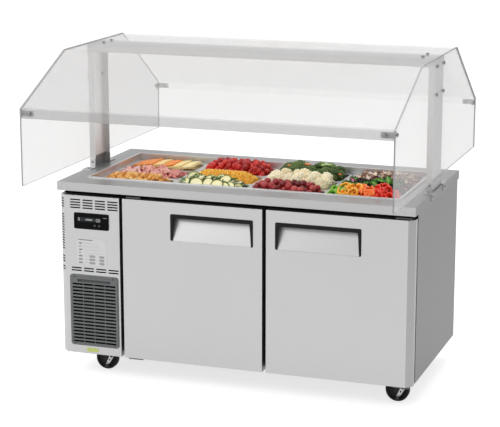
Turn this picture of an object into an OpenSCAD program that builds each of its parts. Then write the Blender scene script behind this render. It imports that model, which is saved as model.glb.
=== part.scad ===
// Mobile refrigerated salad bar on casters, with a clear sneeze guard.
// Origin: middle of the footprint, on the floor. +X right, +Y to the rear, +Z up.

/* [Worktop and well] */
// Width of the worktop between the well and each end
end_land = 96.5; // [88:0.5:150]
// Depth of the worktop between the well and its front and rear edges
side_land = 114.6; // [104:0.2:150]
// Height of the worktop above the floor
top_h = 822; // [800:1:950]
// Thickness of the worktop sheet
top_t = 2; // [1.5:0.5:3]
// Depth of the folded apron
apron_h = 35; // [28:1:50]
// Width of the raised rim bead round the well
rim_w = 12; // [9:1:16]
// Height of the rim bead above the worktop
rim_h = 6; // [4:1:9]
// Depth of the tub below its ledge
tub_depth = 104; // [100:1:120]
// Width of the ledge that the pans and bars rest on
ledge_w = 10; // [8:1:14]
// Width of an adapter bar
bar_w = 20; // [16:1:26]
// Height of an adapter bar
bar_h = 6; // [4:1:8]

/* [Pans] */
// Length of a third-size pan over its flange
pan_l = 325; // [322:1:330]
// Width of a third-size pan over its flange
pan_w = 176; // [174:1:180]
// Depth of a pan below its flange
pan_depth = 100; // [60:1:100]
// Width of a pan flange
pan_flange = 12; // [11:0.5:14]
// Corner radius of a pan
pan_r = 22; // [14:1:30]
// Steel thickness of a pan
pan_t = 1.25; // [1:0.25:2.5]
// How far the pan flanges lie below the worktop
pan_drop = 25; // [18:1:32]

/* [Cabinet] */
// Setback of the door faces behind the front of the worktop
face_setback = 4; // [2:1:20]
// Inset of the cabinet sides from the ends of the worktop
side_inset = 4.5; // [4:0.5:12]
// Inset of the cabinet back from the rear of the worktop
back_inset = 6; // [4:0.5:12]
// Height of the door and panel bottoms above the floor
skirt_z = 101; // [100:1:116]
// Gap between the apron and the tops of the doors
head_gap = 18; // [14:1:24]
// Steel thickness of the skins
skin_t = 1.5; // [1:0.5:2]
// Thickness of the foamed walls
wall_t = 45; // [35:1:50]
// Size of the 45 degree front corners
corner_c = 24; // [16:1:28]
// Width of the mullion between the two door openings
mullion_w = 96; // [80:1:120]
// Depth of the mullion behind the face frame
mullion_depth = 40; // [30:1:50]
// Height of the shelves above the cabinet floor
shelf_rise = 225; // [120:1:230]

/* [Machine compartment] */
// Width of the machine compartment front
panel_w = 267; // [262:1:300]
// Length of a louvre slot
louvre_w = 46; // [36:1:50]
// Height of a louvre slot
louvre_h = 5.5; // [4:0.5:7]
// Width of the intake grille
grille_w = 215; // [212:1:220]
// Height of the intake grille
grille_h = 302; // [300:1:320]
// Width of a slot in the intake grille
grille_slot_w = 45.8; // [40:0.1:46]
// Height of a slot in the intake grille
grille_slot_h = 7.6; // [5:0.1:9]
// Upward slant of the grille's louvres through its thickness
grille_rise = 5; // [0:0.5:6]
// Width of the control bezel
bezel_w = 154; // [150:1:160]
// Height of the control bezel
bezel_h = 67; // [62:1:72]
// Width of the display window
display_w = 104; // [80:1:112]
// Height of the display window
display_h = 18; // [14:1:22]
// Radius of a control button
button_r = 4.5; // [3:0.5:6]
// Travel of a control button
button_travel = 1.2; // [0.8:0.1:2]
// Height of the condenser coil
coil_h = 330; // [300:1:350]
// Depth of the condenser coil
coil_t = 44; // [34:1:60]
// Radius of the condenser fan
fan_r = 88; // [70:1:95]
// Radius of the compressor can
comp_r = 82; // [60:1:90]
// Height of the compressor can below its dome
comp_h = 120; // [90:1:140]
// Width of the evaporator unit
evap_w = 380; // [340:1:440]
// Height of the evaporator unit
evap_h = 150; // [140:1:170]
// Depth of the evaporator unit
evap_d = 62; // [50:1:80]

/* [Doors] */
// Thickness of a door
door_t = 50; // [46:1:60]
// Thickness of the door gasket
gasket_t = 12; // [11:1:16]
// Gap between the two doors
door_gap = 16; // [12:1:24]
// Gap between the machine compartment front and the left door
panel_gap = 14; // [13:1:24]
// Length of a door pull
pull_w = 350; // [300:1:380]
// Height of a door pull
pull_h = 110; // [90:1:130]
// Thickness of the pull's top bar
pull_bar = 16; // [12:1:22]
// Depth of the pull's pocket
pull_depth = 30; // [24:1:36]
// Distance from the free edge of a door to its pull
pull_edge = 38; // [30:1:60]
// Distance from the top of a door to its pull
pull_top = 47; // [40:1:70]

/* [Casters] */
// Height of the base above the floor
base_h = 125; // [122:1:136]
// Diameter of a caster wheel
wheel_d = 96; // [86:1:97]
// Width of a caster wheel
wheel_w = 30; // [24:1:34]
// Trail of a caster wheel behind its swivel
caster_trail = 28; // [22:1:32]
// Distance of the front right caster from the cabinet's right side
caster_right_in = 57; // [50:1:90]
// Distance that the rear right caster stands further in than the front one
caster_rear_shift = 28; // [0:1:60]
// Distance of the left casters from the cabinet's left side
caster_left_in = 175; // [150:1:200]
// Distance of the front casters from the face frame
caster_front_in = 70; // [66:1:90]
// Distance of the rear casters from the cabinet's back
caster_back_in = 90; // [86:1:120]

/* [Sneeze guard] */
// Height of the canopy above the worktop
guard_h = 531; // [480:1:560]
// Depth of the guard
guard_d = 1400; // [1300:1:1500]
// Depth of the flat part of the canopy
flat_d = 592; // [520:1:660]
// Drop of the canopy to its front bend
front_drop = 181; // [150:1:200]
// Drop of the canopy to its rear bend
rear_drop = 272; // [220:1:290]
// Height of the end panels' bottom edges above the worktop
panel_lift = 44; // [38:1:70]
// Inset of the end panels from the ends of the worktop
panel_inset = 3.5; // [3:0.5:8]
// Thickness of the clear panels
clear_t = 6; // [5:0.5:8]
// Depth of the canopy's bent front lip
lip_h = 38; // [36:1:50]
// Depth of the canopy's bent rear lip
rear_lip_h = 28; // [28:1:40]
// Height of a corner bracket
bracket_h = 22; // [18:1:24]
// Width of a post across the counter
post_w = 150; // [120:1:170]
// Width of a post flange
post_flange = 25; // [23:1:30]
// Steel thickness of the posts and the top rail
post_t = 2.5; // [2:0.5:3]
// Height of the top rail
rail_h = 30; // [24:1:40]

/* [Hidden] */
$fn = 48;
// gap at curved seats and beside the clear panels
fit = 0.3;
// radial clearance of turning and sliding pieces
running = 0.08;
// overshoot of a cut beyond the face that it opens
cut = 1;
pan_cols = 4;
pan_rows = 3;
pan_gap_x = 1.5;
pan_gap_y = 1.6;

// Well and worktop
pitch_x = pan_l + pan_gap_x;
pitch_y = pan_w + pan_gap_y;
well_w = pan_cols*pitch_x;
well_d = pan_rows*pitch_y;
top_w = well_w + 2*end_land;
top_d = well_d + 2*side_land;
under_top_z = top_h - top_t;
flange_z = top_h - pan_drop;
ledge_z = flange_z - bar_h;
tub_floor_z = ledge_z - tub_depth;
tub_x = well_w/2 + skin_t;
tub_y = well_d/2 + skin_t;

// Cabinet planes
cab_x = top_w/2 - side_inset;
in_x = cab_x - skin_t;
face_y = -top_d/2 + face_setback;
door_back_y = face_y + door_t;
frame_y = door_back_y + gasket_t;
frame_t = 6;
foam_y = frame_y + frame_t;
back_y = top_d/2 - back_inset;
in_back_y = back_y - skin_t;
door_top_z = top_h - apron_h - head_gap;
door_h = door_top_z - skirt_z;
base_top_z = base_h + skin_t;

// Front layout
panel_x0 = -cab_x;
panel_x1 = panel_x0 + panel_w;
door_x0 = panel_x1 + panel_gap;
door_w = (cab_x - door_x0 - door_gap)/2;
mid_x = door_x0 + door_w + door_gap/2;
partition_in = 9;
partition_x = panel_x1 + partition_in;

// Cooled cabinet
cavity_x0 = partition_x + wall_t;
cavity_x1 = cab_x - wall_t;
cavity_y1 = back_y - wall_t;
cavity_z0 = base_h + wall_t;
cavity_z1 = tub_floor_z - skin_t - wall_t;

// Sneeze guard planes
guard_top_z = top_h + guard_h;
front_z = guard_top_z - front_drop;
rear_z = guard_top_z - rear_drop;
guard_low_z = top_h + panel_lift;
half_d = guard_d/2;
panel_out_x = top_w/2 - panel_inset;
panel_in_x = panel_out_x - clear_t;
post_x1 = panel_in_x - fit;
rail_top_z = guard_top_z - clear_t - fit;
bolt_r = 3;
bolt_hole_r = bolt_r + fit;

// ---------- shared shapes ----------

// Box from its lowest corner to its highest
module block(a, b) {
  translate(a) cube([b[0] - a[0], b[1] - a[1], b[2] - a[2]]);
}

// Cylinders that start at a point and run along +X, +Y or +Z
module rod_x(p, r, h) {
  translate(p) rotate([0, 90, 0]) cylinder(r = r, h = h);
}

module rod_y(p, r, h) {
  translate(p) rotate([-90, 0, 0]) cylinder(r = r, h = h);
}

module rod_z(p, r, h) {
  translate(p) cylinder(r = r, h = h);
}

// Flat rectangle with round corners, made of true circles
module round_rect(x0, y0, x1, y1, r) {
  translate([x0 + r, y0]) square([x1 - x0 - 2*r, y1 - y0]);
  translate([x0, y0 + r]) square([x1 - x0, y1 - y0 - 2*r]);
  for (x = [x0 + r, x1 - r], y = [y0 + r, y1 - r]) translate([x, y]) circle(r);
}

// A round-cornered rectangle about the origin, extruded from z0 to z1
module round_block(half_x, half_y, r, z0, z1) {
  translate([0, 0, z0]) linear_extrude(z1 - z0) round_rect(-half_x, -half_y, half_x, half_y, r);
}

// Outline given in X and Z, extruded along +Y from y0 over a thickness t
module wall_xz(y0, t) {
  translate([0, y0 + t, 0]) rotate([90, 0, 0]) linear_extrude(t) children();
}

// Outline given in Y and Z, extruded along +X from x0 over a width w
module wall_yz(x0, w) {
  translate([x0, 0, 0]) rotate([90, 0, 90]) linear_extrude(w) children();
}

// Both sides of the counter
module both_ends() {
  children();
  mirror([1, 0, 0]) children();
}

louvre_dx = louvre_w + 9;
louvre_dz = 2*louvre_h;

// Louvre slot with round ends, centred
module slot_2d(w, h) {
  square([w - h, h], center = true);
  for (s = [-1, 1]) translate([s*(w - h)/2, 0]) circle(h/2, $fn = 16);
}

// Grid of louvre slots, in X and Z, from its top left slot
module slot_grid(x0, z0, cols, rows) {
  for (i = [0:cols - 1], j = [0:rows - 1])
    translate([x0 + louvre_w/2 + i*louvre_dx, z0 - j*louvre_dz]) slot_2d(louvre_w, louvre_h);
}

// ---------- cabinet ----------

base_flange_h = 18;
base_flange_z = base_h - base_flange_h;
base_hole_r = 9;
base_hole_dx = 300;

// Floor of the cabinet, with folded stiffening flanges under its front and rear edges
module base_pan() {
  color("#9a9c9e") difference() {
    union() {
      block([-in_x, frame_y, base_h], [in_x, in_back_y, base_top_z]);
      for (y = [frame_y, in_back_y - skin_t])
        block([-in_x, y, base_flange_z], [in_x, y + skin_t, base_h]);
    }
    for (i = [-1:1]) rod_z([i*base_hole_dx, 0, base_h - cut], base_hole_r, skin_t + 2*cut);
  }
}

gland_in = 150;
gland_z = 250;
gland_r = 11;
back_slots_in = 30;
back_slots_drop = 60;
back_slots_rise = 140;

module back_panel() {
  color("#a5a7a9") difference() {
    block([-in_x, in_back_y, skirt_z], [in_x, back_y, under_top_z]);
    wall_xz(in_back_y - cut, skin_t + 2*cut) {
      slot_grid(-cab_x + back_slots_in, cavity_z1 - back_slots_drop, 4, 12);
      slot_grid(-cab_x + back_slots_in, gland_z + back_slots_rise, 4, 6);
    }
    rod_y([-cab_x + gland_in, in_back_y - cut, gland_z], gland_r, skin_t + 2*cut);
  }
}

side_slot_rows = 12;
side_slot_dy = 60;
side_slots_z = base_h + 100;
side_group_dz = 260;

// Two end sheets; the left one has two groups of louvres for the machine compartment
module side_panels() {
  color("#989898") difference() {
    both_ends() block([in_x, frame_y, skirt_z], [cab_x, back_y, under_top_z]);
    for (g = [0, 1], j = [0:side_slot_rows - 1], i = [0:2])
      translate([0, i*side_slot_dy, side_slots_z + g*side_group_dz + j*louvre_dz])
        wall_yz(-cab_x - cut, skin_t + 2*cut) slot_2d(louvre_w, louvre_h);
  }
}

module liner_outside() {
  block([cavity_x0 - skin_t, foam_y - cut, cavity_z0 - skin_t],
        [cavity_x1 + skin_t, cavity_y1 + skin_t, cavity_z1 + skin_t]);
}

// Foam round the cavity and under the worktop, moulded round the tub and the liner
module cabinet_foam() {
  color("#e8dfc0") difference() {
    union() {
      block([-in_x, foam_y, cavity_z1], [in_x, in_back_y, under_top_z]);
      block([partition_x, foam_y, base_top_z], [in_x, in_back_y, cavity_z1 + cut]);
    }
    tub_outside();
    liner_outside();
  }
}

module cabinet_liner() {
  color("#d8dadb") difference() {
    intersection() {
      liner_outside();
      block([-in_x, foam_y, 0], [in_x, back_y, under_top_z]);
    }
    block([cavity_x0, foam_y - 2*cut, cavity_z0], [cavity_x1, cavity_y1, cavity_z1]);
  }
}

// Sheet between the machine compartment and the foam, folded over as its ceiling
module machine_partition() {
  color("#b5b7b8") {
    block([partition_x - skin_t, foam_y, base_top_z], [partition_x, in_back_y, cavity_z1]);
    block([-in_x, foam_y, cavity_z1 - skin_t], [partition_x - skin_t/2, in_back_y, cavity_z1]);
  }
}

frame_x0 = panel_x1 - 2.5;
mullion_leaf = 14;

// Black frame that the gaskets close on, open at the two doors
module face_frame() {
  half_w = mullion_w/2;
  core_w = half_w - mullion_leaf;
  color("#1d1e20") {
    difference() {
      union() {
        block([frame_x0, frame_y, base_top_z], [in_x, foam_y, under_top_z]);
        block([-in_x, frame_y, cavity_z1], [frame_x0 + cut, foam_y, under_top_z]);
      }
      block([cavity_x0, frame_y - cut, cavity_z0], [mid_x - half_w, foam_y + cut, cavity_z1]);
      block([mid_x + half_w, frame_y - cut, cavity_z0], [cavity_x1, foam_y + cut, cavity_z1]);
    }
    // mullion post behind the frame
    block([mid_x - core_w, foam_y - cut, cavity_z0], [mid_x + core_w, foam_y + mullion_depth, cavity_z1]);
  }
}

// ---------- worktop and well ----------

screw_in = 12.5;
screw_pair = 29;
screw_drop = 24;
screw_r = 3;
screw_head_t = 1.2;

// Pairs of low screw heads on the front and rear aprons
module apron_screws() {
  end_x = top_w/2 - screw_in;
  for (x = [screw_pair/2, end_x - screw_pair, end_x])
    both_ends() {
      rod_y([x, -top_d/2 - screw_head_t, top_h - screw_drop], screw_r, screw_head_t + cut, $fn = 24);
      rod_y([x, top_d/2 - cut, top_h - screw_drop], screw_r, screw_head_t + cut, $fn = 24);
    }
}

module worktop() {
  hole_x = tub_x + fit;
  hole_y = tub_y + fit;
  color("#b4b4b4") difference() {
    block([-top_w/2, -top_d/2, top_h - apron_h], [top_w/2, top_d/2, top_h]);
    block([-top_w/2 + top_t, -top_d/2 + top_t, top_h - apron_h - cut],
          [top_w/2 - top_t, top_d/2 - top_t, under_top_z]);
    block([-hole_x, -hole_y, under_top_z - cut], [hole_x, hole_y, top_h + cut]);
  }
  color("#8e9092") apron_screws();
}

module tub_outside() {
  low_x = tub_x - ledge_w;
  low_y = tub_y - ledge_w;
  block([-tub_x, -tub_y, ledge_z - skin_t], [tub_x, tub_y, top_h + cut]);
  block([-low_x, -low_y, tub_floor_z - skin_t], [low_x, low_y, ledge_z]);
}

rim_step = 2;

// Welded tub with a ledge for the pans and a rolled rim bead on the worktop
module well_tub() {
  rim_x = well_w/2 + rim_w;
  rim_y = well_d/2 + rim_w;
  low_x = well_w/2 - ledge_w;
  low_y = well_d/2 - ledge_w;
  color("#c9cbcc") difference() {
    union() {
      intersection() {
        tub_outside();
        block([-top_w, -top_d, 0], [top_w, top_d, top_h]);
      }
      round_block(rim_x, rim_y, rim_w, top_h, top_h + rim_h - rim_step);
      round_block(rim_x - rim_step, rim_y - rim_step, rim_w - rim_step, top_h, top_h + rim_h);
    }
    block([-well_w/2, -well_d/2, ledge_z], [well_w/2, well_d/2, top_h + rim_h + cut]);
    block([-low_x, -low_y, tub_floor_z], [low_x, low_y, ledge_z + cut]);
  }
}

// Bars between the columns of pans, and a half bar on the ledge at each end
module adapter_bars() {
  y = well_d/2 - fit;
  color("#c4c6c8") {
    for (i = [1:pan_cols - 1]) {
      x = -well_w/2 + i*pitch_x;
      block([x - bar_w/2, -y, ledge_z], [x + bar_w/2, y, flange_z]);
    }
    both_ends() block([well_w/2 - ledge_w, -y, ledge_z], [well_w/2 - fit, y, flange_z]);
  }
}

pan_flange_t = 2;
pan_step = 5;
pan_flange_r = pan_flange + 6;

// The hollow or the outside of a pan's body, at a distance t inside its outside
module pan_body(t, top_z) {
  bx = pan_l/2 - pan_flange - t;
  by = pan_w/2 - pan_flange - t;
  floor_z = flange_z - pan_depth + t;
  step_z = floor_z + pan_step;
  round_block(bx, by, pan_r - t, step_z, top_z);
  round_block(bx - pan_step, by - pan_step, pan_r - pan_step - t, floor_z, step_z + (t > 0 ? t : 0));
}

// One third-size pan; column from the left and row from the front, both from 0
module pan(col, row) {
  x = -well_w/2 + (col + 0.5)*pitch_x;
  y = -well_d/2 + (row + 0.5)*pitch_y;
  color("#cdcfd0") translate([x, y, 0]) difference() {
    union() {
      round_block(pan_l/2, pan_w/2, pan_flange_r, flange_z, flange_z + pan_flange_t);
      pan_body(0, flange_z + cut);
    }
    pan_body(pan_t, flange_z + pan_flange_t + cut);
  }
}

// ---------- machine compartment ----------

grille_in = 43;
grille_rise_z = 34;
grille_x0 = panel_x0 + grille_in;
grille_x1 = grille_x0 + grille_w;
grille_z0 = skirt_z + grille_rise_z;
grille_z1 = grille_z0 + grille_h;
grille_r = 12;
grille_proud = 4;
grille_lap = 8;

bezel_in = 67;
bezel_drop = 138;
bezel_x0 = panel_x0 + bezel_in;
bezel_z0 = door_top_z - bezel_drop;
bezel_r = 6;
bezel_lap = 4;
bezel_proud = 3;
bezel_depth = 18;

slots_x0 = panel_x0 + 50;
top_slots_z = door_top_z - 18;
low_slots_z = grille_z1 + 28;

// Plan of the folded front, with its 45 degree corner; t moves it inwards and opens its back
module front_plan(t) {
  k = t*tan(22.5);
  open_y = frame_y + (t > 0 ? cut : 0);
  polygon([
    [panel_x1 - t, open_y], [panel_x1 - t, face_y + t], [panel_x0 + corner_c + k, face_y + t],
    [panel_x0 + t, face_y + corner_c + k], [panel_x0 + t, open_y]
  ]);
}

module front_openings() {
  slot_grid(slots_x0, top_slots_z, 4, 4);
  slot_grid(slots_x0, low_slots_z, 4, 2);
  translate([bezel_x0 + bezel_lap, bezel_z0 + bezel_lap])
    square([bezel_w - 2*bezel_lap, bezel_h - 2*bezel_lap]);
  round_rect(grille_x0 + grille_lap, grille_z0 + grille_lap,
             grille_x1 - grille_lap, grille_z1 - grille_lap, grille_r/2);
}

// Short slots across the 45 degree corner: each group is its top slot's height and its count
module corner_slots() {
  slot_w = corner_c + 3;
  deep = 4;
  groups = [[top_slots_z, 4], [top_slots_z - 66, 14], [top_slots_z - 242, 3], [low_slots_z, 2]];
  for (g = groups, j = [0:g[1] - 1])
    translate([panel_x0 + corner_c/2, face_y + corner_c/2, g[0] - j*louvre_dz])
      rotate([0, 0, -45]) wall_xz(-deep, 2*deep) slot_2d(slot_w, louvre_h);
}

module machine_front() {
  flange = 14;
  color("#c8c8c8") difference() {
    translate([0, 0, skirt_z]) linear_extrude(door_h) front_plan(0);
    translate([0, 0, skirt_z + skin_t]) linear_extrude(door_h - 2*skin_t) front_plan(skin_t);
    // open behind the folded top and bottom flanges
    block([panel_x0 + skin_t, face_y + corner_c + flange, skirt_z - cut],
          [panel_x1 - skin_t, frame_y + cut, door_top_z + cut]);
    wall_xz(face_y - cut, skin_t + 2*cut) front_openings();
    corner_slots();
  }
}

bezel_y0 = face_y - bezel_proud;
button_x = bezel_x0 + 92;
button_z = bezel_z0 + 17;
button_dx = 20;
button_bore = 12;
button_sink = 0.4;
display_x0 = bezel_x0 + 16;
display_z0 = bezel_z0 + 31;
display_back_y = face_y + 3;

module control_bezel() {
  tray_in = 6;
  tray_depth = 2;
  lap = bezel_lap + fit;
  x1 = bezel_x0 + bezel_w;
  z1 = bezel_z0 + bezel_h;
  color("#1b1c1e") difference() {
    union() {
      wall_xz(bezel_y0, bezel_proud) round_rect(bezel_x0, bezel_z0, x1, z1, bezel_r);
      block([bezel_x0 + lap, face_y, bezel_z0 + lap], [x1 - lap, face_y + bezel_depth, z1 - lap]);
    }
    // shallow tray that holds the window and the buttons
    wall_xz(bezel_y0 - cut, tray_depth + cut)
      round_rect(bezel_x0 + tray_in, bezel_z0 + tray_in, x1 - tray_in, z1 - tray_in, bezel_r/2);
    block([display_x0, bezel_y0, display_z0],
          [display_x0 + display_w, display_back_y, display_z0 + display_h]);
    for (i = [0, 1])
      rod_y([button_x + i*button_dx, bezel_y0 - cut, button_z], button_r + fit, button_bore + cut);
  }
}

module control_display() {
  window_in = 1.6;
  color("#3b3f43")
    block([display_x0 + fit, bezel_y0 + window_in, display_z0 + fit],
          [display_x0 + display_w - fit, display_back_y, display_z0 + display_h - fit]);
}

// Push button that stops a little above the floor of its bore
module control_button(i) {
  color("#c9cacb")
    rod_y([button_x + i*button_dx, bezel_y0 + button_sink, button_z],
          button_r, button_bore - button_sink - fit - button_travel);
}

grille_rows = 18;
grille_cols = 4;
grille_dz = 14.4;
grille_dx = grille_slot_w + 2.6;
grille_head = 41;
grille_border = 9;
grille_depth = 10;
finger_in = 34;
finger_h = 13;
finger_floor = 2;

// Moulded intake grille: dished field of slanted louvres inside a raised border
module intake_grille() {
  y0 = face_y - grille_proud;
  y1 = face_y + grille_depth;
  x0 = grille_x0 + (grille_w - grille_slot_w - (grille_cols - 1)*grille_dx)/2;
  z_top = grille_z1 - grille_head;
  rim = grille_lap + fit;
  hollow = rim + 2.2;
  finger_z = z_top + 9;
  color("#707173") difference() {
    union() {
      wall_xz(y0 + 1, grille_proud - 1) round_rect(grille_x0, grille_z0, grille_x1, grille_z1, grille_r);
      wall_xz(y0, 2) round_rect(grille_x0 + 3, grille_z0 + 3, grille_x1 - 3, grille_z1 - 3, grille_r - 3);
      wall_xz(face_y, grille_depth)
        round_rect(grille_x0 + rim, grille_z0 + rim, grille_x1 - rim, grille_z1 - rim, grille_r/2);
    }
    wall_xz(y0 - cut, 1 + cut)
      round_rect(grille_x0 + grille_border, grille_z0 + grille_border,
                 grille_x1 - grille_border, grille_z1 - grille_border, grille_r/2 - 1);
    // hollow back, below the finger slot
    wall_xz(face_y + 1, grille_depth)
      round_rect(grille_x0 + hollow, grille_z0 + hollow, grille_x1 - hollow, z_top - grille_dz/2, grille_r/3);
    // louvres that rise towards the back
    for (i = [0:grille_cols - 1], j = [0:grille_rows - 1])
      wall_yz(x0 + i*grille_dx, grille_slot_w) slanted_slot(y0 - cut, y1 + cut, z_top - j*grille_dz);
    // finger slot with a sloping floor
    wall_yz(grille_x0 + finger_in, grille_w - 2*finger_in) polygon([
      [y0 - cut, finger_z], [y1 - finger_floor, finger_z + 4],
      [y1 - finger_floor, finger_z + finger_h], [y0 - cut, finger_z + finger_h]
    ]);
  }
  for (x = [grille_x0 + 22, grille_x1 - 22])
    color("#b9bbbd") rod_y([x, y0 + 0.2, grille_z1 - 12.5], 2.6, 2, $fn = 24);
}

// Side view of a slot between two louvres, centred at height z in front
module slanted_slot(y0, y1, z) {
  h = grille_slot_h/2;
  polygon([[y0, z - h], [y1, z - h + grille_rise], [y1, z + h + grille_rise], [y0, z + h]]);
}

coil_in = 72;
coil_y0 = face_y + coil_in;
coil_y1 = coil_y0 + coil_t;
coil_x0 = grille_x0 + 2;
coil_x1 = panel_x1 - 14;
coil_z0 = base_top_z;
coil_z1 = coil_z0 + coil_h;
fan_gap = 4;
cowl_t = 3;
cowl_depth = 46;
fan_x = (coil_x0 + coil_x1)/2;
fan_z = (coil_z0 + coil_z1)/2 + 5;
fan_hub_r = 24;
fan_h = 18;
shaft_r = 4;
motor_y = coil_y1 + cowl_depth + 14;
motor_r = 38;
motor_len = 62;
fan_y0 = motor_y - fan_h - 4;

// Finned coil with its hairpin bends
module condenser_coil() {
  cheek = 2;
  fins = 26;
  fin_t = 1.5;
  fin_in = 8;
  fin_low = 6;
  fin_dx = (coil_x1 - coil_x0 - 2*fin_low - fin_t - 0.5)/(fins - 1);
  bends = 7;
  bend_r = 9;
  bend_tube_r = 3.5;
  bend_in = 30;
  bend_dz = (coil_h - bend_in - 36)/(bends - 1);
  for (x = [coil_x0, coil_x1 - cheek]) block([x, coil_y0, coil_z0], [x + cheek, coil_y1, coil_z1]);
  block([coil_x0 + cheek, coil_y0 + fin_in, coil_z0 + fin_low],
        [coil_x1 - cheek, coil_y1, coil_z1 - fin_low]);
  for (i = [0:fins - 1])
    translate([coil_x0 + fin_low + i*fin_dx, 0, 0])
      block([0, coil_y0, coil_z0 + fin_low], [fin_t, coil_y0 + fin_in + 0.5, coil_z1 - fin_low]);
  for (j = [0:bends - 1])
    translate([coil_x1 - cheek/2, (coil_y0 + coil_y1)/2, coil_z0 + bend_in + j*bend_dz])
      rotate([90, 0, 0]) rotate([0, 0, -90])
        rotate_extrude(angle = 180) translate([bend_r, 0]) circle(bend_tube_r, $fn = 20);
}

// Cowl ring on its plate, with the motor on four struts
module fan_cowl() {
  ring_r = fan_r + fan_gap;
  difference() {
    union() {
      block([coil_x0, coil_y1, coil_z0], [coil_x1, coil_y1 + cowl_t, coil_z1]);
      rod_y([fan_x, coil_y1, fan_z], ring_r + cowl_t, cowl_depth);
    }
    rod_y([fan_x, coil_y1 - cut, fan_z], ring_r, cowl_depth + 2*cut);
  }
}

module fan_motor() {
  strut_w = 10;
  strut_t = 4;
  tab_r = fan_r + fan_gap + cowl_t - 2;
  tab_t = 1.5;
  rod_y([fan_x, motor_y, fan_z], motor_r, motor_len);
  rod_y([fan_x, motor_y - fan_h - 2, fan_z], shaft_r, fan_h + 4);
  for (a = [45:90:315]) translate([fan_x, 0, fan_z]) rotate([0, a, 0]) {
    block([motor_r - fan_gap*2, motor_y + 2, -strut_w/2], [tab_r + 1, motor_y + 2 + strut_t, strut_w/2]);
    block([tab_r, coil_y1 + cowl_depth - 6, -strut_w/2], [tab_r + tab_t, motor_y + 5, strut_w/2]);
  }
}

module condenser() {
  color("#8f9396") condenser_coil();
  color("#2a2b2d") fan_cowl();
  color("#55585b") fan_motor();
}

// Five pitched blades on a hub, their edges a little inside the hub's ends
module condenser_fan() {
  blade_t = 2;
  pitch = 32;
  edge_in = 1;
  color("#202124") translate([fan_x, fan_y0, fan_z]) difference() {
    union() {
      rod_y([0, 0, 0], fan_hub_r, fan_h);
      intersection() {
        rod_y([0, edge_in, 0], fan_r, fan_h - 2*edge_in);
        for (a = [20:72:308]) rotate([0, a, 0])
          translate([fan_hub_r - 4, fan_h/2, 0]) rotate([-pitch, 0, 0])
            block([0, -blade_t/2, -fan_h], [fan_r, blade_t/2, fan_h]);
      }
    }
    rod_y([0, -cut, 0], shaft_r + running, fan_h + 2*cut);
  }
}

comp_x = panel_x0 + panel_w/2;
comp_plate = [105, 70];
comp_behind = 88.5;
comp_y = in_back_y - comp_plate.y - comp_behind;
comp_plate_t = 3;
comp_foot = [90, 56];
comp_foot_r = 12;
comp_foot_h = 14;
comp_base_r = 14;
comp_seam_z = 80;
comp_seam = 4;
comp_dome_h = 46;

// Welded compressor can with a waist seam and a domed top, on a plate with rubber feet
module compressor() {
  z = base_top_z + comp_foot_h + comp_plate_t;
  // the can and the feet end inside the plate
  weld_z = z - comp_plate_t/2;
  seam_r = comp_r + comp_seam;
  color("#17181a") translate([comp_x, comp_y, 0]) {
    rotate_extrude($fn = 64) polygon(concat(
      [[0, weld_z], [comp_r - comp_base_r, weld_z], [comp_r - comp_base_r, z],
       [comp_r, z + comp_base_r + 2], [comp_r, z + comp_seam_z],
       [seam_r, z + comp_seam_z + 1], [seam_r, z + comp_seam_z + 7],
       [comp_r, z + comp_seam_z + 8], [comp_r, z + comp_h]],
      [for (a = [10:10:90]) [comp_r*cos(a), z + comp_h + comp_dome_h*sin(a)]]));
    block([-comp_plate.x, -comp_plate.y, z - comp_plate_t], [comp_plate.x, comp_plate.y, z]);
    for (sx = [-1, 1], sy = [-1, 1])
      rod_z([sx*comp_foot.x, sy*comp_foot.y, base_top_z], comp_foot_r, weld_z - base_top_z);
    // terminal box and discharge stub
    block([-comp_r - 18, -24, z + 33], [-comp_r + 6, 24, z + 77]);
    rod_z([comp_r/2, 0, z + comp_h - 20], 5, 90);
  }
}

evap_x0 = mid_x - evap_w/2;
evap_x1 = mid_x + evap_w/2;
evap_z0 = cavity_z1 - evap_h;
evap_slots_in = 30;
guard_ring_t = 6;

// Evaporator cover under the ceiling: two fan guards pressed as rings, and a row of outlets
module evaporator_unit() {
  y0 = cavity_y1 - evap_d;
  color("#d5d7d8") difference() {
    block([evap_x0, y0, evap_z0], [evap_x1, cavity_y1, cavity_z1]);
    for (s = [-1, 1], r = [22:2*guard_ring_t:58])
      translate([mid_x + s*evap_w/4, y0 - cut, evap_z0 + evap_h/2]) difference() {
        rod_y([0, 0, 0], r + guard_ring_t/2, guard_ring_t);
        rod_y([0, -cut, 0], r - guard_ring_t/2, guard_ring_t + 2*cut);
      }
    wall_xz(y0 - cut, guard_ring_t + 2*cut)
      for (x = [evap_x0 + evap_slots_in, mid_x - louvre_w/2, evap_x1 - evap_slots_in - louvre_w])
        slot_grid(x, evap_z0 + 14, 1, 1);
  }
}

// ---------- shelves ----------

shelf_z = cavity_z0 + shelf_rise;
wire_r = 2.2;
rod_r = 4;
shelf_y0 = foam_y + mullion_depth + 4;
shelf_y1 = cavity_y1 - 4;
shelf_rod_in = rod_r + 6;
shelf_front_y = shelf_y0 + shelf_rod_in;
shelf_back_y = shelf_y1 - shelf_rod_in;
shelf_side_gap = 5;
shelf_mid_gap = 4;

// Wire shelf: frame rods with cross wires welded on top
module shelf(x0, x1) {
  wires = 13;
  wire_in = 10;
  wire_dx = (x1 - x0 - 2*wire_in)/(wires - 1);
  for (y = [shelf_front_y, (shelf_front_y + shelf_back_y)/2, shelf_back_y])
    rod_x([x0, y, shelf_z], rod_r, x1 - x0, $fn = 24);
  for (i = [0:wires - 1])
    rod_y([x0 + wire_in + i*wire_dx, shelf_y0, shelf_z + rod_r + wire_r/2],
          wire_r, shelf_y1 - shelf_y0, $fn = 16);
}

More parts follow.
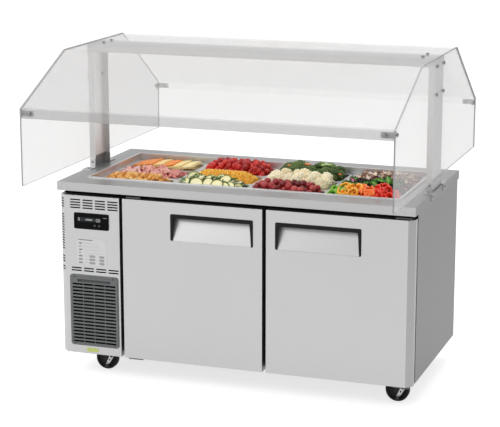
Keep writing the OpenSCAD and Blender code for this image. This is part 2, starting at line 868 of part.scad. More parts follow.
module shelves() {
  color("#e6e8ea") {
    shelf(cavity_x0 + shelf_side_gap, mid_x - shelf_mid_gap/2);
    shelf(mid_x + shelf_mid_gap/2, cavity_x1 - shelf_side_gap);
  }
}

strip_t = 3;
strip_w = 20;
strip_in = 15;
clip_t = 14;
clip_w = 16;
mid_clip_w = 18;

// Strips on the walls, each with a clip under the shelf rods
module shelf_pilasters() {
  strip_z0 = cavity_z0 + strip_in;
  strip_z1 = cavity_z1 - strip_in;
  clip_z1 = shelf_z - rod_r - fit;
  clip_z0 = clip_z1 - clip_t;
  mid_y0 = foam_y + mullion_depth;
  left_x = cavity_x0 + strip_t;
  right_x = cavity_x1 - strip_t;
  back_y0 = cavity_y1 - strip_t;
  clip_x0 = mid_x - mid_clip_w;
  clip_x1 = mid_x + mid_clip_w;
  color("#c2c4c6") {
    for (y = [shelf_front_y, shelf_back_y]) {
      block([cavity_x0, y - strip_w/2, strip_z0], [left_x, y + strip_w/2, strip_z1]);
      block([left_x, y - clip_w/2, clip_z0], [left_x + clip_t, y + clip_w/2, clip_z1]);
      block([right_x, y - strip_w/2, strip_z0], [cavity_x1, y + strip_w/2, strip_z1]);
      block([right_x - clip_t, y - clip_w/2, clip_z0], [right_x, y + clip_w/2, clip_z1]);
    }
    // strips on the mullion and on the back wall carry both shelves
    block([mid_x - strip_w/2, mid_y0, strip_z0], [mid_x + strip_w/2, mid_y0 + strip_t, strip_z1]);
    block([clip_x0, mid_y0 + strip_t, clip_z0], [clip_x1, shelf_front_y + clip_w/2, clip_z1]);
    block([mid_x - strip_w/2, back_y0, strip_z0], [mid_x + strip_w/2, cavity_y1, evap_z0 - strip_in]);
    block([clip_x0, shelf_back_y - clip_w/2, clip_z0], [clip_x1, back_y0, clip_z1]);
  }
}

// ---------- doors ----------

hinge_in = 22;
hinge_y = face_y + hinge_in;
pin_r = 5;
pin_len = 18;
pin_stop = 3;
hinge_gap = 1.8;
hinge_t = 6;
hinge_w = 62;
hinge_lap = 8;
hinge_block_h = pin_len + 6;

// Plan of a door: hinge edge at x = 0, free edge at x = door_w; t moves it inwards and opens its back
module door_plan(t, c) {
  k = t*tan(22.5);
  open_y = door_back_y + (t > 0 ? cut : 0);
  polygon(c > 0
    ? [[t, open_y], [t, face_y + c + k], [c + k, face_y + t], [door_w - t, face_y + t], [door_w - t, open_y]]
    : [[t, open_y], [t, face_y + t], [door_w - t, face_y + t], [door_w - t, open_y]]);
}

pull_x0 = door_w - pull_edge - pull_w;
pull_x1 = pull_x0 + pull_w;
pull_z1 = door_top_z - pull_top;
pull_z0 = pull_z1 - pull_h;
pull_lap = 6;
pocket_t = 1.5;
pocket_x0 = pull_x0 + 1;
pocket_x1 = pull_x1 - 1;

// Side view of the pull's pocket: deepest under its top bar, running out at the bottom
module pocket_side(grow) {
  top_z = pull_z1 - pull_lap + grow;
  deep_y = face_y + pull_depth + grow;
  polygon([
    [face_y - cut, pull_z0 - grow], [face_y + pocket_t, pull_z0 - grow],
    [deep_y, pull_z1 - pull_bar - 4], [deep_y, top_z], [face_y - cut, top_z]
  ]);
}

// Door skin with its pressed pocket and the blocks that the hinge pins turn in
module door_shell(c) {
  hinge_block_w = 34;
  hinge_block_in = 4;
  color("#c8c8c8") difference() {
    union() {
      difference() {
        translate([0, 0, skirt_z]) linear_extrude(door_h) door_plan(0, c);
        translate([0, 0, skirt_z + skin_t]) linear_extrude(door_h - 2*skin_t) door_plan(skin_t, c);
      }
      intersection() {
        wall_yz(pocket_x0, pocket_x1 - pocket_x0) pocket_side(pocket_t);
        block([0, face_y, skirt_z], [door_w, door_back_y, door_top_z]);
      }
      intersection() {
        for (z = [skirt_z, door_top_z - hinge_block_h])
          block([hinge_block_in, face_y + hinge_block_in, z],
                [hinge_block_in + hinge_block_w, door_back_y - hinge_block_in, z + hinge_block_h]);
        linear_extrude(door_top_z) door_plan(0, c);
      }
    }
    wall_yz(pocket_x0 + pocket_t, pocket_x1 - pocket_x0 - 2*pocket_t) pocket_side(0);
    for (z = [skirt_z - cut, door_top_z - pin_len + cut])
      rod_z([hinge_in, hinge_y, z], pin_r + running, pin_len);
  }
}

gasket_in = 24;
gasket_w = 14;
liner_in = gasket_in + gasket_w + 6;
liner_t = 3;
liner_raise = 8;

// Inner door panel: a tray that closes the shell, with a hollow raised centre inside the gasket
module door_liner() {
  edge = skin_t + fit;
  z0 = cavity_z0 + 4;
  z1 = cavity_z1 + 40;
  color("#d2d4d5") difference() {
    union() {
      block([edge, door_back_y - liner_t, skirt_z + edge], [door_w - edge, door_back_y, door_top_z - edge]);
      block([liner_in, door_back_y - cut, z0], [door_w - liner_in, door_back_y + liner_raise, z1]);
    }
    block([liner_in + liner_t, door_back_y - liner_t - cut, z0 + liner_t],
          [door_w - liner_in - liner_t, door_back_y + liner_raise - liner_t, z1 - liner_t]);
  }
}

// Two-step gasket frame that closes on the face frame
module door_gasket() {
  x0 = gasket_in;
  x1 = door_w - gasket_in;
  z0 = skirt_z + gasket_in;
  z1 = door_top_z - gasket_in;
  y1 = frame_y - fit;
  step = 2;
  color("#26272a") difference() {
    union() {
      block([x0, door_back_y, z0], [x1, door_back_y + gasket_t/2, z1]);
      block([x0 + step, door_back_y, z0 + step], [x1 - step, y1, z1 - step]);
    }
    block([x0 + gasket_w, door_back_y - cut, z0 + gasket_w], [x1 - gasket_w, y1 + cut, z1 - gasket_w]);
  }
}

// Black moulded pull: top bar, tapered legs and the cheeks that line the pocket
module door_pull() {
  proud = 1.5;
  pull_r = 6;
  leg_top = 14;
  leg_low = 8;
  cheek_t = 3;
  grip_t = 5;
  seat = pocket_t + fit;
  grip_z1 = pull_z1 - pull_lap - fit;
  color("#2a2b2d") {
    wall_xz(face_y - proud, proud) difference() {
      round_rect(pull_x0, pull_z0, pull_x1, pull_z1, pull_r);
      polygon([
        [pull_x0 + leg_low, pull_z0 - cut], [pull_x0 + leg_top, pull_z1 - pull_bar],
        [pull_x1 - leg_top, pull_z1 - pull_bar], [pull_x1 - leg_low, pull_z0 - cut]
      ]);
    }
    for (x = [pocket_x0 + seat, pocket_x1 - seat - cheek_t])
      intersection() {
        wall_yz(x, cheek_t) pocket_side(-fit);
        block([0, face_y - proud/2, pull_z0], [door_w, face_y + pull_depth, grip_z1]);
      }
    // finger grip behind the bar
    block([pocket_x0 + seat, face_y - proud/2, pull_z1 - pull_bar],
          [pocket_x1 - seat, face_y + grip_t, grip_z1]);
  }
}

// Places a door: the left one hinges at its left edge, the right one is its mirror image
module place_door(right) {
  if (right) translate([cab_x, 0, 0]) mirror([1, 0, 0]) children();
  else translate([door_x0, 0, 0]) children();
}

// Hinge plate under a door, with its washer and pin; x = 0 is the pin's axis and z = 0 the door's edge
module hinge_plate() {
  plate_z = -hinge_gap - hinge_t;
  block([-hinge_lap, hinge_y - 12, plate_z], [hinge_w - hinge_lap, frame_y, -hinge_gap]);
  rod_z([0, hinge_y, -hinge_gap - cut], pin_r, hinge_gap + cut + pin_len - pin_stop);
  rod_z([0, hinge_y, -hinge_gap - cut], pin_r + 4, hinge_gap - fit + cut);
}

module hinge_plates() {
  color("#8f9193") for (right = [0, 1], top = [0, 1])
    translate([right ? cab_x - hinge_in : door_x0 + hinge_in, 0, top ? door_top_z : skirt_z])
      mirror([right, 0, 0]) mirror([0, 0, top]) hinge_plate();
}

// ---------- casters ----------

axle_z = wheel_d/2;
kingpin_r = 8;
axle_r = 5;
plate_t = 4;
plate_half = [40, 46];
plate_bolt = [30, 36];
plate_bolt_r = 4.5;
crown_top_z = base_h - plate_t - fit;
crown_low_z = wheel_d + 3;
crown_r = 34;
cup_r = 27;
cup_h = 8;
caster_right = cab_x - caster_right_in;
caster_front = frame_y + caster_front_in;
caster_back = back_y - caster_back_in;
caster_spots = [
  [-cab_x + caster_left_in, caster_front], [caster_right, caster_front],
  [-cab_x + caster_left_in, caster_back], [caster_right - caster_rear_shift, caster_back]
];

// Bolted plate with the king pin that the fork turns on, riveted over below
module caster_plate(spot) {
  rivet_t = 2.5;
  translate([spot.x, spot.y, 0]) {
    difference() {
      round_block(plate_half.x, plate_half.y, 6, base_h - plate_t, base_h);
      for (sx = [-1, 1], sy = [-1, 1])
        rod_z([sx*plate_bolt.x, sy*plate_bolt.y, base_h - plate_t - cut], plate_bolt_r, plate_t + 2*cut);
    }
    rod_z([0, 0, crown_low_z - cut], kingpin_r, base_h - crown_low_z);
    rod_z([0, 0, crown_low_z - rivet_t - fit], kingpin_r + 4, rivet_t);
  }
}

module caster_plates() {
  color("#b9bbbd") for (s = caster_spots) caster_plate(s);
}

leg_gap = wheel_w/2 + 2;
leg_t = 3;
leg_y = leg_gap + leg_t;
leg_w = 30;
leg_front = 16;
leg_eye_r = 13;
axle_end = 3;
rivet_x = -2;
rivet_z = axle_z + 14;
rivet_r = 4;
lever_t = 2.5;

// Outline of a fork leg, raked back from the crown to the axle's eye
module fork_leg() {
  polygon([
    [leg_front, crown_low_z + 1], [-leg_w, crown_low_z + 1],
    [-caster_trail - leg_eye_r + 1, axle_z - 4], [-caster_trail + 8, axle_z - 9]
  ]);
  translate([-caster_trail, axle_z]) circle(leg_eye_r);
}

// Rivet with its head, that a brake lever turns on
module brake_rivet() {
  shank = leg_t + 2*fit + lever_t;
  translate([rivet_x, -leg_gap, rivet_z]) rotate([90, 0, 0]) {
    translate([0, 0, cut]) cylinder(r = rivet_r, h = shank);
    translate([0, 0, shank]) cylinder(r = rivet_r + 2.5, h = 1.6);
  }
}

// Pressed fork: crown, bearing cup, two raked legs and the axle between them
module caster_fork(spot, has_brake) {
  end = has_brake ? 0 : axle_end;
  color("#b4b6b8") translate([spot.x, spot.y, 0]) {
    difference() {
      union() {
        rod_z([0, 0, crown_low_z + 6], crown_r, crown_top_z - crown_low_z - 6);
        rod_z([0, 0, crown_low_z], cup_r, cup_h);
        block([-leg_w, -leg_y, crown_low_z], [leg_front, leg_y, crown_low_z + cup_h - 1]);
      }
      rod_z([0, 0, crown_low_z - cut], kingpin_r + running, base_h - crown_low_z + cut);
    }
    wall_xz(-leg_y, leg_t) fork_leg();
    wall_xz(leg_gap, leg_t) fork_leg();
    rod_y([-caster_trail, -leg_y - end, axle_z], axle_r, 2*leg_y + end + axle_end);
    if (has_brake) brake_rivet();
  }
}

// Wheel with a hub boss, a dished web and a rounded tread
module caster_wheel(spot) {
  r = wheel_d/2;
  h = wheel_w/2;
  hub_r = 14;
  half = [[axle_r + running, -h], [hub_r, -h], [hub_r + 1, -h + 3],
          [r - 14, -h + 4], [r - 11, -h], [r - 3, -h + 1], [r, -h + 5]];
  other = [for (i = [len(half) - 1:-1:0]) [half[i].x, -half[i].y]];
  color("#161718") translate([spot.x - caster_trail, spot.y, axle_z])
    rotate([-90, 0, 0]) rotate_extrude($fn = 64) polygon(concat(half, other));
}

// Side brake of a front caster: a lever on a rivet in the fork's front leg, with a foot tab
module brake_lever(spot) {
  y1 = -leg_y - fit;
  eye_r = 9;
  tab_out = 5;
  bend = [rivet_x - 18, rivet_z - 34];
  tip = [rivet_x - 24, rivet_z - 50];
  fold = [[bend.x + 7, bend.y - 1], [bend.x - 6, bend.y + 2]];
  color("#b4b6b8") translate([spot.x, spot.y, 0]) difference() {
    union() {
      wall_xz(y1 - lever_t, lever_t) {
        translate([rivet_x, rivet_z]) circle(eye_r);
        polygon([[rivet_x - eye_r, rivet_z + 1], [rivet_x + eye_r, rivet_z - 2], fold[0], fold[1]]);
      }
      // foot tab, turned outwards
      wall_xz(y1 - lever_t - tab_out, lever_t + tab_out)
        polygon([fold[0], fold[1], [tip.x - 6, tip.y], [tip.x + 6, tip.y - 2]]);
    }
    rod_y([rivet_x, y1 - lever_t - cut, rivet_z], rivet_r + running, lever_t + 2*cut);
    // square window pressed in the lever
    wall_xz(y1 - lever_t - cut, lever_t + 2*cut)
      translate([rivet_x - 9.5, rivet_z - 17]) rotate([0, 0, -30]) square([6, 7], center = true);
  }
}

// ---------- sneeze guard ----------

post_y = post_w/2;
end_bolt_in = 18;
end_bolt_y = post_y - end_bolt_in;
end_bolt_drop = [34, 146];
end_bolt_z = [for (drop = end_bolt_drop) guard_top_z - drop];
canopy_bolt_x = panel_in_x - 58;
canopy_bolt_y = 40;

// Channel post, open towards the middle of the counter
module guard_post() {
  x0 = post_x1 - post_flange;
  z1 = rail_top_z - post_t;
  difference() {
    block([x0, -post_y, top_h], [post_x1, post_y, z1]);
    block([x0 - cut, -post_y + post_t, top_h - cut], [post_x1 - post_t, post_y - post_t, z1 + cut]);
    for (y = [-end_bolt_y, end_bolt_y], z = end_bolt_z)
      rod_x([post_x1 - post_t - cut, y, z], bolt_hole_r, post_t + 2*cut);
  }
}

module guard_posts() {
  color("#cfcfcf") both_ends() guard_post();
}

// Inverted channel over the tops of both posts
module guard_rail() {
  y = post_y + fit + post_t;
  z0 = rail_top_z - rail_h;
  color("#cbcbcb") difference() {
    block([-post_x1, -y, z0], [post_x1, y, rail_top_z]);
    block([-post_x1 - cut, -y + post_t, z0 - cut], [post_x1 + cut, y - post_t, rail_top_z - post_t]);
    for (sx = [-1, 1], sy = [-1, 1])
      rod_z([sx*canopy_bolt_x, sy*canopy_bolt_y, rail_top_z - post_t - cut], bolt_hole_r, post_t + 2*cut);
  }
}

bracket_t = 3;
bracket_leg_x = 50;
bracket_leg_y = 34;
corner_bolt_in = 34;
bend_clear = 5;
lip_in_y = half_d - clear_t - fit;
corner_bolt_x = panel_in_x - corner_bolt_in;
corner_bolt_y = lip_in_y - bracket_t - 16;
front_bolt_z = front_z - lip_h/2;
rear_bolt_z = rear_z - bend_clear - bracket_h/2;

// Flat clear end panel, cut to the outline of the bent canopy
module end_panel() {
  difference() {
    wall_yz(panel_in_x, clear_t) polygon([
      [-half_d, guard_low_z], [-half_d, front_z], [-flat_d/2, guard_top_z],
      [flat_d/2, guard_top_z], [half_d, rear_z], [half_d, guard_low_z]
    ]);
    for (y = [-end_bolt_y, end_bolt_y], z = end_bolt_z)
      rod_x([panel_in_x - cut, y, z], bolt_hole_r, clear_t + 2*cut);
    for (p = [[-corner_bolt_y, front_bolt_z], [corner_bolt_y, rear_bolt_z]])
      rod_x([panel_in_x - cut, p[0], p[1]], bolt_hole_r, clear_t + 2*cut);
  }
}

module end_panels() {
  color([0.9, 0.93, 0.95, 0.35]) both_ends() end_panel();
}

front_slope = atan2(front_drop, half_d - flat_d/2);
rear_slope = atan2(rear_drop, half_d - flat_d/2);

// One clear sheet bent four times: front lip, front wing, flat, rear wing, rear lip
module canopy() {
  x = panel_in_x - fit;
  t = clear_t;
  // how far each bend's inside corner lies from its outside one
  front_k = t*tan(front_slope/2);
  rear_k = t*tan(rear_slope/2);
  front_lip_k = t*tan(45 - front_slope/2);
  rear_lip_k = t*tan(45 - rear_slope/2);
  color([0.9, 0.93, 0.95, 0.35]) difference() {
    wall_yz(-x, 2*x) polygon([
      [-half_d, front_z - lip_h], [-half_d, front_z], [-flat_d/2, guard_top_z],
      [flat_d/2, guard_top_z], [half_d, rear_z], [half_d, rear_z - rear_lip_h],
      [half_d - t, rear_z - rear_lip_h], [half_d - t, rear_z - rear_lip_k],
      [flat_d/2 - rear_k, guard_top_z - t], [-flat_d/2 + front_k, guard_top_z - t],
      [-half_d + t, front_z - front_lip_k], [-half_d + t, front_z - lip_h]
    ]);
    for (sx = [-1, 1]) {
      for (sy = [-1, 1])
        rod_z([sx*canopy_bolt_x, sy*canopy_bolt_y, guard_top_z - t - cut], bolt_hole_r, t + 2*cut);
      rod_y([sx*corner_bolt_x, -half_d - cut, front_bolt_z], bolt_hole_r, t + 2*cut);
      rod_y([sx*corner_bolt_x, half_d - t - cut, rear_bolt_z], bolt_hole_r, t + 2*cut);
    }
  }
}

// Angle that joins the rear lip of the canopy to the right end panel, at height z
module corner_bracket(z) {
  z0 = z - bracket_h/2;
  z1 = z + bracket_h/2;
  difference() {
    union() {
      block([post_x1 - bracket_leg_x, lip_in_y - bracket_t, z0], [post_x1, lip_in_y, z1]);
      block([post_x1 - bracket_t, lip_in_y - bracket_leg_y, z0], [post_x1, lip_in_y, z1]);
    }
    rod_y([corner_bolt_x, lip_in_y - bracket_t - cut, z], bolt_hole_r, bracket_t + 2*cut);
    rod_x([post_x1 - bracket_t - cut, corner_bolt_y, z], bolt_hole_r, bracket_t + 2*cut);
  }
}

foot_len = 54;
foot_tab = 35;
foot_drop = 26;
foot_up = 40;
socket_t = 2;
socket_d = 20;

// Folded foot behind a post: tab on the worktop, leaf down the apron, upstand on the post's flange
module foot_bracket() {
  y1 = post_y + foot_len;
  x1 = top_w/2 + bracket_t;
  z1 = top_h + bracket_t;
  block([top_w/2 - foot_tab, post_y, top_h], [x1, y1, z1]);
  block([top_w/2, post_y, top_h - foot_drop], [x1, y1, z1]);
  block([post_x1 - post_flange, post_y, top_h], [post_x1, post_y + bracket_t, top_h + foot_up]);
}

// Channel inside the foot of a post
module post_socket() {
  x1 = post_x1 - post_t;
  y1 = post_y - post_t;
  z1 = top_h + foot_up + 4;
  difference() {
    block([x1 - socket_d, -y1, top_h], [x1, y1, z1]);
    block([x1 - socket_d - cut, -y1 + socket_t, top_h - cut], [x1 - socket_t, y1 - socket_t, z1 + cut]);
  }
}

module guard_brackets() {
  color("#c6c8c9") both_ends() {
    mirror([0, 1, 0]) corner_bracket(front_bolt_z);
    corner_bracket(rear_bolt_z);
    for (m = [0, 1]) mirror([0, m, 0]) foot_bracket();
    post_socket();
  }
}

// Round-head bolt along +Z: its head on z = 0, its nut at the far side of a grip
module bolt(grip) {
  head_r = 8;
  head_h = 4.8;
  nut_h = 5;
  tail = grip + nut_h + 1;
  rotate_extrude($fn = 32) polygon([
    [0, -tail], [bolt_r, -tail], [bolt_r, 0], [head_r, 0], [head_r, 1.4],
    [head_r - 1.2, 3.2], [head_r - 3.6, head_h - 0.4], [0, head_h]
  ]);
  translate([0, 0, -grip - nut_h]) difference() {
    cylinder(r = 5.5, h = nut_h, $fn = 6);
    translate([0, 0, -cut]) cylinder(r = bolt_r - 0.5, h = nut_h + 2*cut);
  }
}

// Flat screw head standing on z = 0
module screw_head() {
  rotate_extrude($fn = 32) polygon([[0, 0], [5.5, 0], [5.5, 1], [4.4, 2.4], [0, 2.8]]);
}

module guard_bolts() {
  foot_y = post_y + bracket_t + (foot_len - bracket_t)/2;
  grip = clear_t + fit;
  color("#6d6f72") both_ends() {
    for (m = [0, 1]) mirror([0, m, 0]) {
      translate([top_w/2 - foot_tab/2, foot_y, top_h + bracket_t]) screw_head();
      translate([top_w/2 + bracket_t, foot_y, top_h - foot_drop/2]) rotate([0, 90, 0]) screw_head();
      translate([post_x1 - post_flange/2, post_y + bracket_t, top_h + foot_up*0.65])
        rotate([-90, 0, 0]) screw_head();
      translate([canopy_bolt_x, canopy_bolt_y, guard_top_z]) bolt(grip + post_t);
    }
    for (y = [-end_bolt_y, end_bolt_y], z = end_bolt_z)
      translate([panel_out_x, y, z]) rotate([0, 90, 0]) bolt(grip + post_t);
    for (p = [[-corner_bolt_y, front_bolt_z], [corner_bolt_y, rear_bolt_z]])
      translate([panel_out_x, p[0], p[1]]) rotate([0, 90, 0]) bolt(grip + bracket_t);
    translate([corner_bolt_x, -half_d, front_bolt_z]) rotate([90, 0, 0]) bolt(grip + bracket_t);
    translate([corner_bolt_x, half_d, rear_bolt_z]) rotate([-90, 0, 0]) bolt(grip + bracket_t);
  }
}

// ---------- assembly ----------

base_pan();
back_panel();
side_panels();
cabinet_foam();
cabinet_liner();
machine_partition();
face_frame();
worktop();
well_tub();
adapter_bars();
pan(0, 2);  // pan_rear_1
pan(1, 2);  // pan_rear_2
pan(2, 2);  // pan_rear_3
pan(3, 2);  // pan_rear_4
pan(0, 1);  // pan_middle_1
pan(1, 1);  // pan_middle_2
pan(2, 1);  // pan_middle_3
pan(3, 1);  // pan_middle_4
pan(0, 0);  // pan_front_1
pan(1, 0);  // pan_front_2
pan(2, 0);  // pan_front_3
pan(3, 0);  // pan_front_4
machine_front();
control_bezel();
control_display();
control_button(0);  // button_left
control_button(1);  // button_right
intake_grille();
condenser();
condenser_fan();
compressor();
evaporator_unit();
shelves();
shelf_pilasters();
hinge_plates();
place_door(false) door_shell(0);  // door_left_shell
place_door(false) door_liner();  // door_left_liner
place_door(false) door_gasket();  // door_left_gasket
place_door(false) door_pull();  // door_left_pull
place_door(true) door_shell(corner_c);  // door_right_shell
place_door(true) door_liner();  // door_right_liner
place_door(true) door_gasket();  // door_right_gasket
place_door(true) door_pull();  // door_right_pull
caster_plates();
caster_fork(caster_spots[0], true);  // caster_fork_front_left
caster_fork(caster_spots[1], true);  // caster_fork_front_right
caster_fork(caster_spots[2], false);  // caster_fork_rear_left
caster_fork(caster_spots[3], false);  // caster_fork_rear_right
caster_wheel(caster_spots[0]);  // caster_wheel_front_left
caster_wheel(caster_spots[1]);  // caster_wheel_front_right
caster_wheel(caster_spots[2]);  // caster_wheel_rear_left
caster_wheel(caster_spots[3]);  // caster_wheel_rear_right
brake_lever(caster_spots[0]);  // brake_lever_left
brake_lever(caster_spots[1]);  // brake_lever_right
guard_posts();
guard_rail();
end_panels();
canopy();
guard_brackets();
guard_bolts();
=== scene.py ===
# %% [markdown]
# # A mobile salad bar, dressed for its portrait
# The counter, its doors, casters and sneeze guard arrive as a finished frame of rigid parts.
# This lesson gives each of them its real finish, fills the twelve pans with salad, and sets
# up the floor, the light and the camera. Every length below is in metres unless a name
# ends in _mm.

# %% The frame and the tools
import math

import bpy
import numpy as np
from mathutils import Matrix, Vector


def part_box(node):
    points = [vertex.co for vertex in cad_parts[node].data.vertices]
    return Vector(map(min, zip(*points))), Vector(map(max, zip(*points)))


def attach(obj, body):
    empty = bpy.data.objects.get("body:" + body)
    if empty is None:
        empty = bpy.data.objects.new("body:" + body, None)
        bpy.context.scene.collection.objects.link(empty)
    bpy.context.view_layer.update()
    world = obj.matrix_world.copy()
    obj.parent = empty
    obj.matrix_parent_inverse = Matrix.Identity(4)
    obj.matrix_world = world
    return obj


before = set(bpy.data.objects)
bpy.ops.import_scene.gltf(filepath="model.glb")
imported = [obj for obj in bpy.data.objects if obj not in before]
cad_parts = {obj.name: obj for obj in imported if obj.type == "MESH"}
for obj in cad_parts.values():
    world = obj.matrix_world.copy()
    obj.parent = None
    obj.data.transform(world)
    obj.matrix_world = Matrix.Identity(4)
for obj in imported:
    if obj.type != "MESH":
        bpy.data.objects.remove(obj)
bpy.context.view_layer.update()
MM = 0.001
print("nodes in the frame:", len(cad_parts))

# %% [markdown]
# ## The camera
# The photograph was taken with a long lens from the front right, a little above the
# worktop. Distance, height and lens were fitted to the edges of the counter, so the
# horizon and the lines of the cabinet fall as they do in the picture.

# %% The camera
PICTURE_W = 500
FOCAL_PX = 1688.8
SENSOR_MM = 36.0
CAMERA_AT = (2.2115, -6.4820, 2.2334)
CAMERA_YAW = math.radians(19.227)
CAMERA_PITCH = math.radians(12.925)


def make_camera():
    """Lens in mm = focal length in pixels / picture width in pixels * sensor width in mm."""
    lens = bpy.data.cameras.new("portrait_lens")
    lens.sensor_width = SENSOR_MM
    lens.lens = FOCAL_PX / PICTURE_W * SENSOR_MM
    lens.clip_end = 200
    eye = bpy.data.objects.new("portrait_camera", lens)
    eye.location = CAMERA_AT
    eye.rotation_euler = (math.pi / 2 - CAMERA_PITCH, 0, CAMERA_YAW)
    bpy.context.scene.collection.objects.link(eye)
    bpy.context.scene.camera = eye
    return lens


print("lens, mm:", round(make_camera().lens, 1))

# %% [markdown]
# ## Nodes in one line
# A Blender material is a small graph. One helper adds a node, sets its plain values and
# links its sockets, so that a finish reads like a recipe. Colours are written as sRGB hex
# values, as a paint chart would give them, and one function turns them to the linear
# values that the shader works in.

# %% Colours, nodes and materials
def linear(hex_code):
    """sRGB channel c in 0..1 becomes c/12.92 below 0.04045, else ((c + 0.055)/1.055) ** 2.4."""
    channels = np.array([int(hex_code[i:i + 2], 16) for i in (1, 3, 5)]) / 255
    low = channels / 12.92
    high = ((channels + 0.055) / 1.055) ** 2.4
    return tuple(float(c) for c in np.where(channels < 0.04045, low, high)) + (1.0,)


def add(tree, kind, links=None, **settings):
    """Adds one node; settings name its properties or sockets, links map sockets to sources."""
    node = tree.nodes.new(kind)
    for name, value in settings.items():
        if hasattr(node, name):
            setattr(node, name, value)
        else:
            node.inputs[name.replace("_", " ")].default_value = value
    for socket, source in (links or {}).items():
        tree.links.new(source, node.inputs[socket])
    return node


def start_material(name):
    """An empty material with its output node and the piece's own coordinates."""
    mat = bpy.data.materials.new(name)
    mat.use_nodes = True
    tree = mat.node_tree
    tree.nodes.clear()
    out = add(tree, "ShaderNodeOutputMaterial")
    place = add(tree, "ShaderNodeTexCoord").outputs["Object"]
    return mat, tree, out, place


def dress(mat, *nodes):
    """Gives a finish to CAD nodes."""
    for name in nodes:
        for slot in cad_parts[name].material_slots:
            slot.material = mat


print("mid grey #808080, linear:", round(linear("#808080")[0], 3))

# %% [markdown]
# A few pairs and triples of nodes come back in every finish: a blend of two colours, a
# range, a comparison, a patch of noise, a rounded edge. Each gets a name of its own here.

# %% Small recipes
X, Y, Z = 0, 1, 2


def mixed(tree, amount, dark, light):
    """A colour between two others, each a hex colour or a socket, by a 0..1 amount."""
    mix = add(tree, "ShaderNodeMix", {0: amount}, data_type="RGBA")
    for socket, colour in ((6, dark), (7, light)):
        if isinstance(colour, str):
            mix.inputs[socket].default_value = linear(colour)
        else:
            tree.links.new(colour, mix.inputs[socket])
    return mix.outputs[2]


def spread(tree, value, low, high):
    """A 0..1 value moved to the range low..high."""
    return add(tree, "ShaderNodeMapRange", {0: value}, To_Min=low, To_Max=high).outputs[0]


def maths(tree, operation, first, second=0.0):
    """One step of arithmetic on a socket and a second socket or number; a comparison gives 1 or 0."""
    node = add(tree, "ShaderNodeMath", {0: first}, operation=operation)
    if isinstance(second, float):
        node.inputs[1].default_value = second
    else:
        tree.links.new(second, node.inputs[1])
    return node.outputs[0]


def axis_of(tree, vector, axis):
    """The X, Y or Z part of a vector."""
    return add(tree, "ShaderNodeSeparateXYZ", {0: vector}).outputs[axis]


def noise(tree, place, per_metre, detail):
    """Soft 0..1 patches, so many to the metre."""
    return add(tree, "ShaderNodeTexNoise", {"Vector": place}, Scale=per_metre, Detail=detail).outputs[0]


def soft_edge(tree, round_mm):
    """Normals that make sharp edges look rounded by round_mm."""
    return add(tree, "ShaderNodeBevel", samples=4, Radius=round_mm * MM).outputs[0]


def ray_is(tree, *kinds):
    """1 for a ray of any of these kinds, else 0."""
    path = add(tree, "ShaderNodeLightPath")
    found = path.outputs[f"Is {kinds[0]} Ray"]
    for kind in kinds[1:]:
        found = maths(tree, "MAXIMUM", found, path.outputs[f"Is {kind} Ray"])
    return found


print("axes:", X, Y, Z)

# %% [markdown]
# ## Stainless steel
# Catering cabinets are 304 stainless, brushed with a grit belt along the sheet. The belt
# leaves fine parallel scratches, which spread reflections across the grain, so the
# steel looks grey and even. The scratches are about 0.2 mm apart; they are drawn about
# 1 mm apart here, because finer ones would vanish at this distance. The tone of the
# sheet hardly varies, so the two ends of its colour lie close together.

# %% Brushed stainless steel
GRAIN_MM = 1.0
GRAIN_STRETCH = 60
CLOUDS_PER_METRE = 2.2
EDGE_ROUND_MM = 1.2
RIGHT_FACING = 0.3
FOOT_LINE = 0.864


def faces_right(tree):
    """1 where the piece's own surface faces its +X side, else 0."""
    own_normal = add(tree, "ShaderNodeTexCoord").outputs["Normal"]
    return maths(tree, "GREATER_THAN", axis_of(tree, own_normal, X), RIGHT_FACING)


def brushed_stainless(name, dark, light, along, shine=0.32, depth=0.02, edge=EDGE_ROUND_MM,
                      right=None, foot=None):
    """Steel with a grain along axis X, Y or Z: noise that is stretched that way.

    right is a second pair of tones for the faces towards +X: painted shade where they are
    darker, a painted highlight where they are lighter; foot is a third pair, painted shade
    for those of them that are below FOOT_LINE.
    """
    mat, tree, out, place = start_material(name)
    stretch = [1 / (GRAIN_MM * MM)] * 3
    stretch[along] /= GRAIN_STRETCH
    grain_place = add(tree, "ShaderNodeMapping", {"Vector": place}, Scale=stretch).outputs[0]
    grain = noise(tree, grain_place, 1.0, 3.0)
    cloud = noise(tree, place, CLOUDS_PER_METRE, 2.0)
    tone = maths(tree, "MULTIPLY", maths(tree, "ADD", grain, cloud), 0.5)
    colour = mixed(tree, tone, dark, light)
    # Painted light: the faces towards +X, and the low ones among them, take tones of their own.
    if right:
        turned = mixed(tree, tone, *right)
        if foot:
            low = maths(tree, "LESS_THAN", axis_of(tree, place, Z), FOOT_LINE)
            turned = mixed(tree, low, turned, mixed(tree, tone, *foot))
        colour = mixed(tree, faces_right(tree), colour, turned)
    scratch = add(tree, "ShaderNodeBump", {"Height": grain, "Normal": soft_edge(tree, edge)},
                  Strength=depth * 5, Distance=0.0002)
    steel = add(tree, "ShaderNodeBsdfPrincipled", {
        "Base Color": colour,
        "Roughness": spread(tree, grain, shine - 0.04, shine + 0.04),
        "Normal": scratch.outputs[0],
    }, Metallic=1.0)
    tree.links.new(steel.outputs[0], out.inputs[0])
    return mat
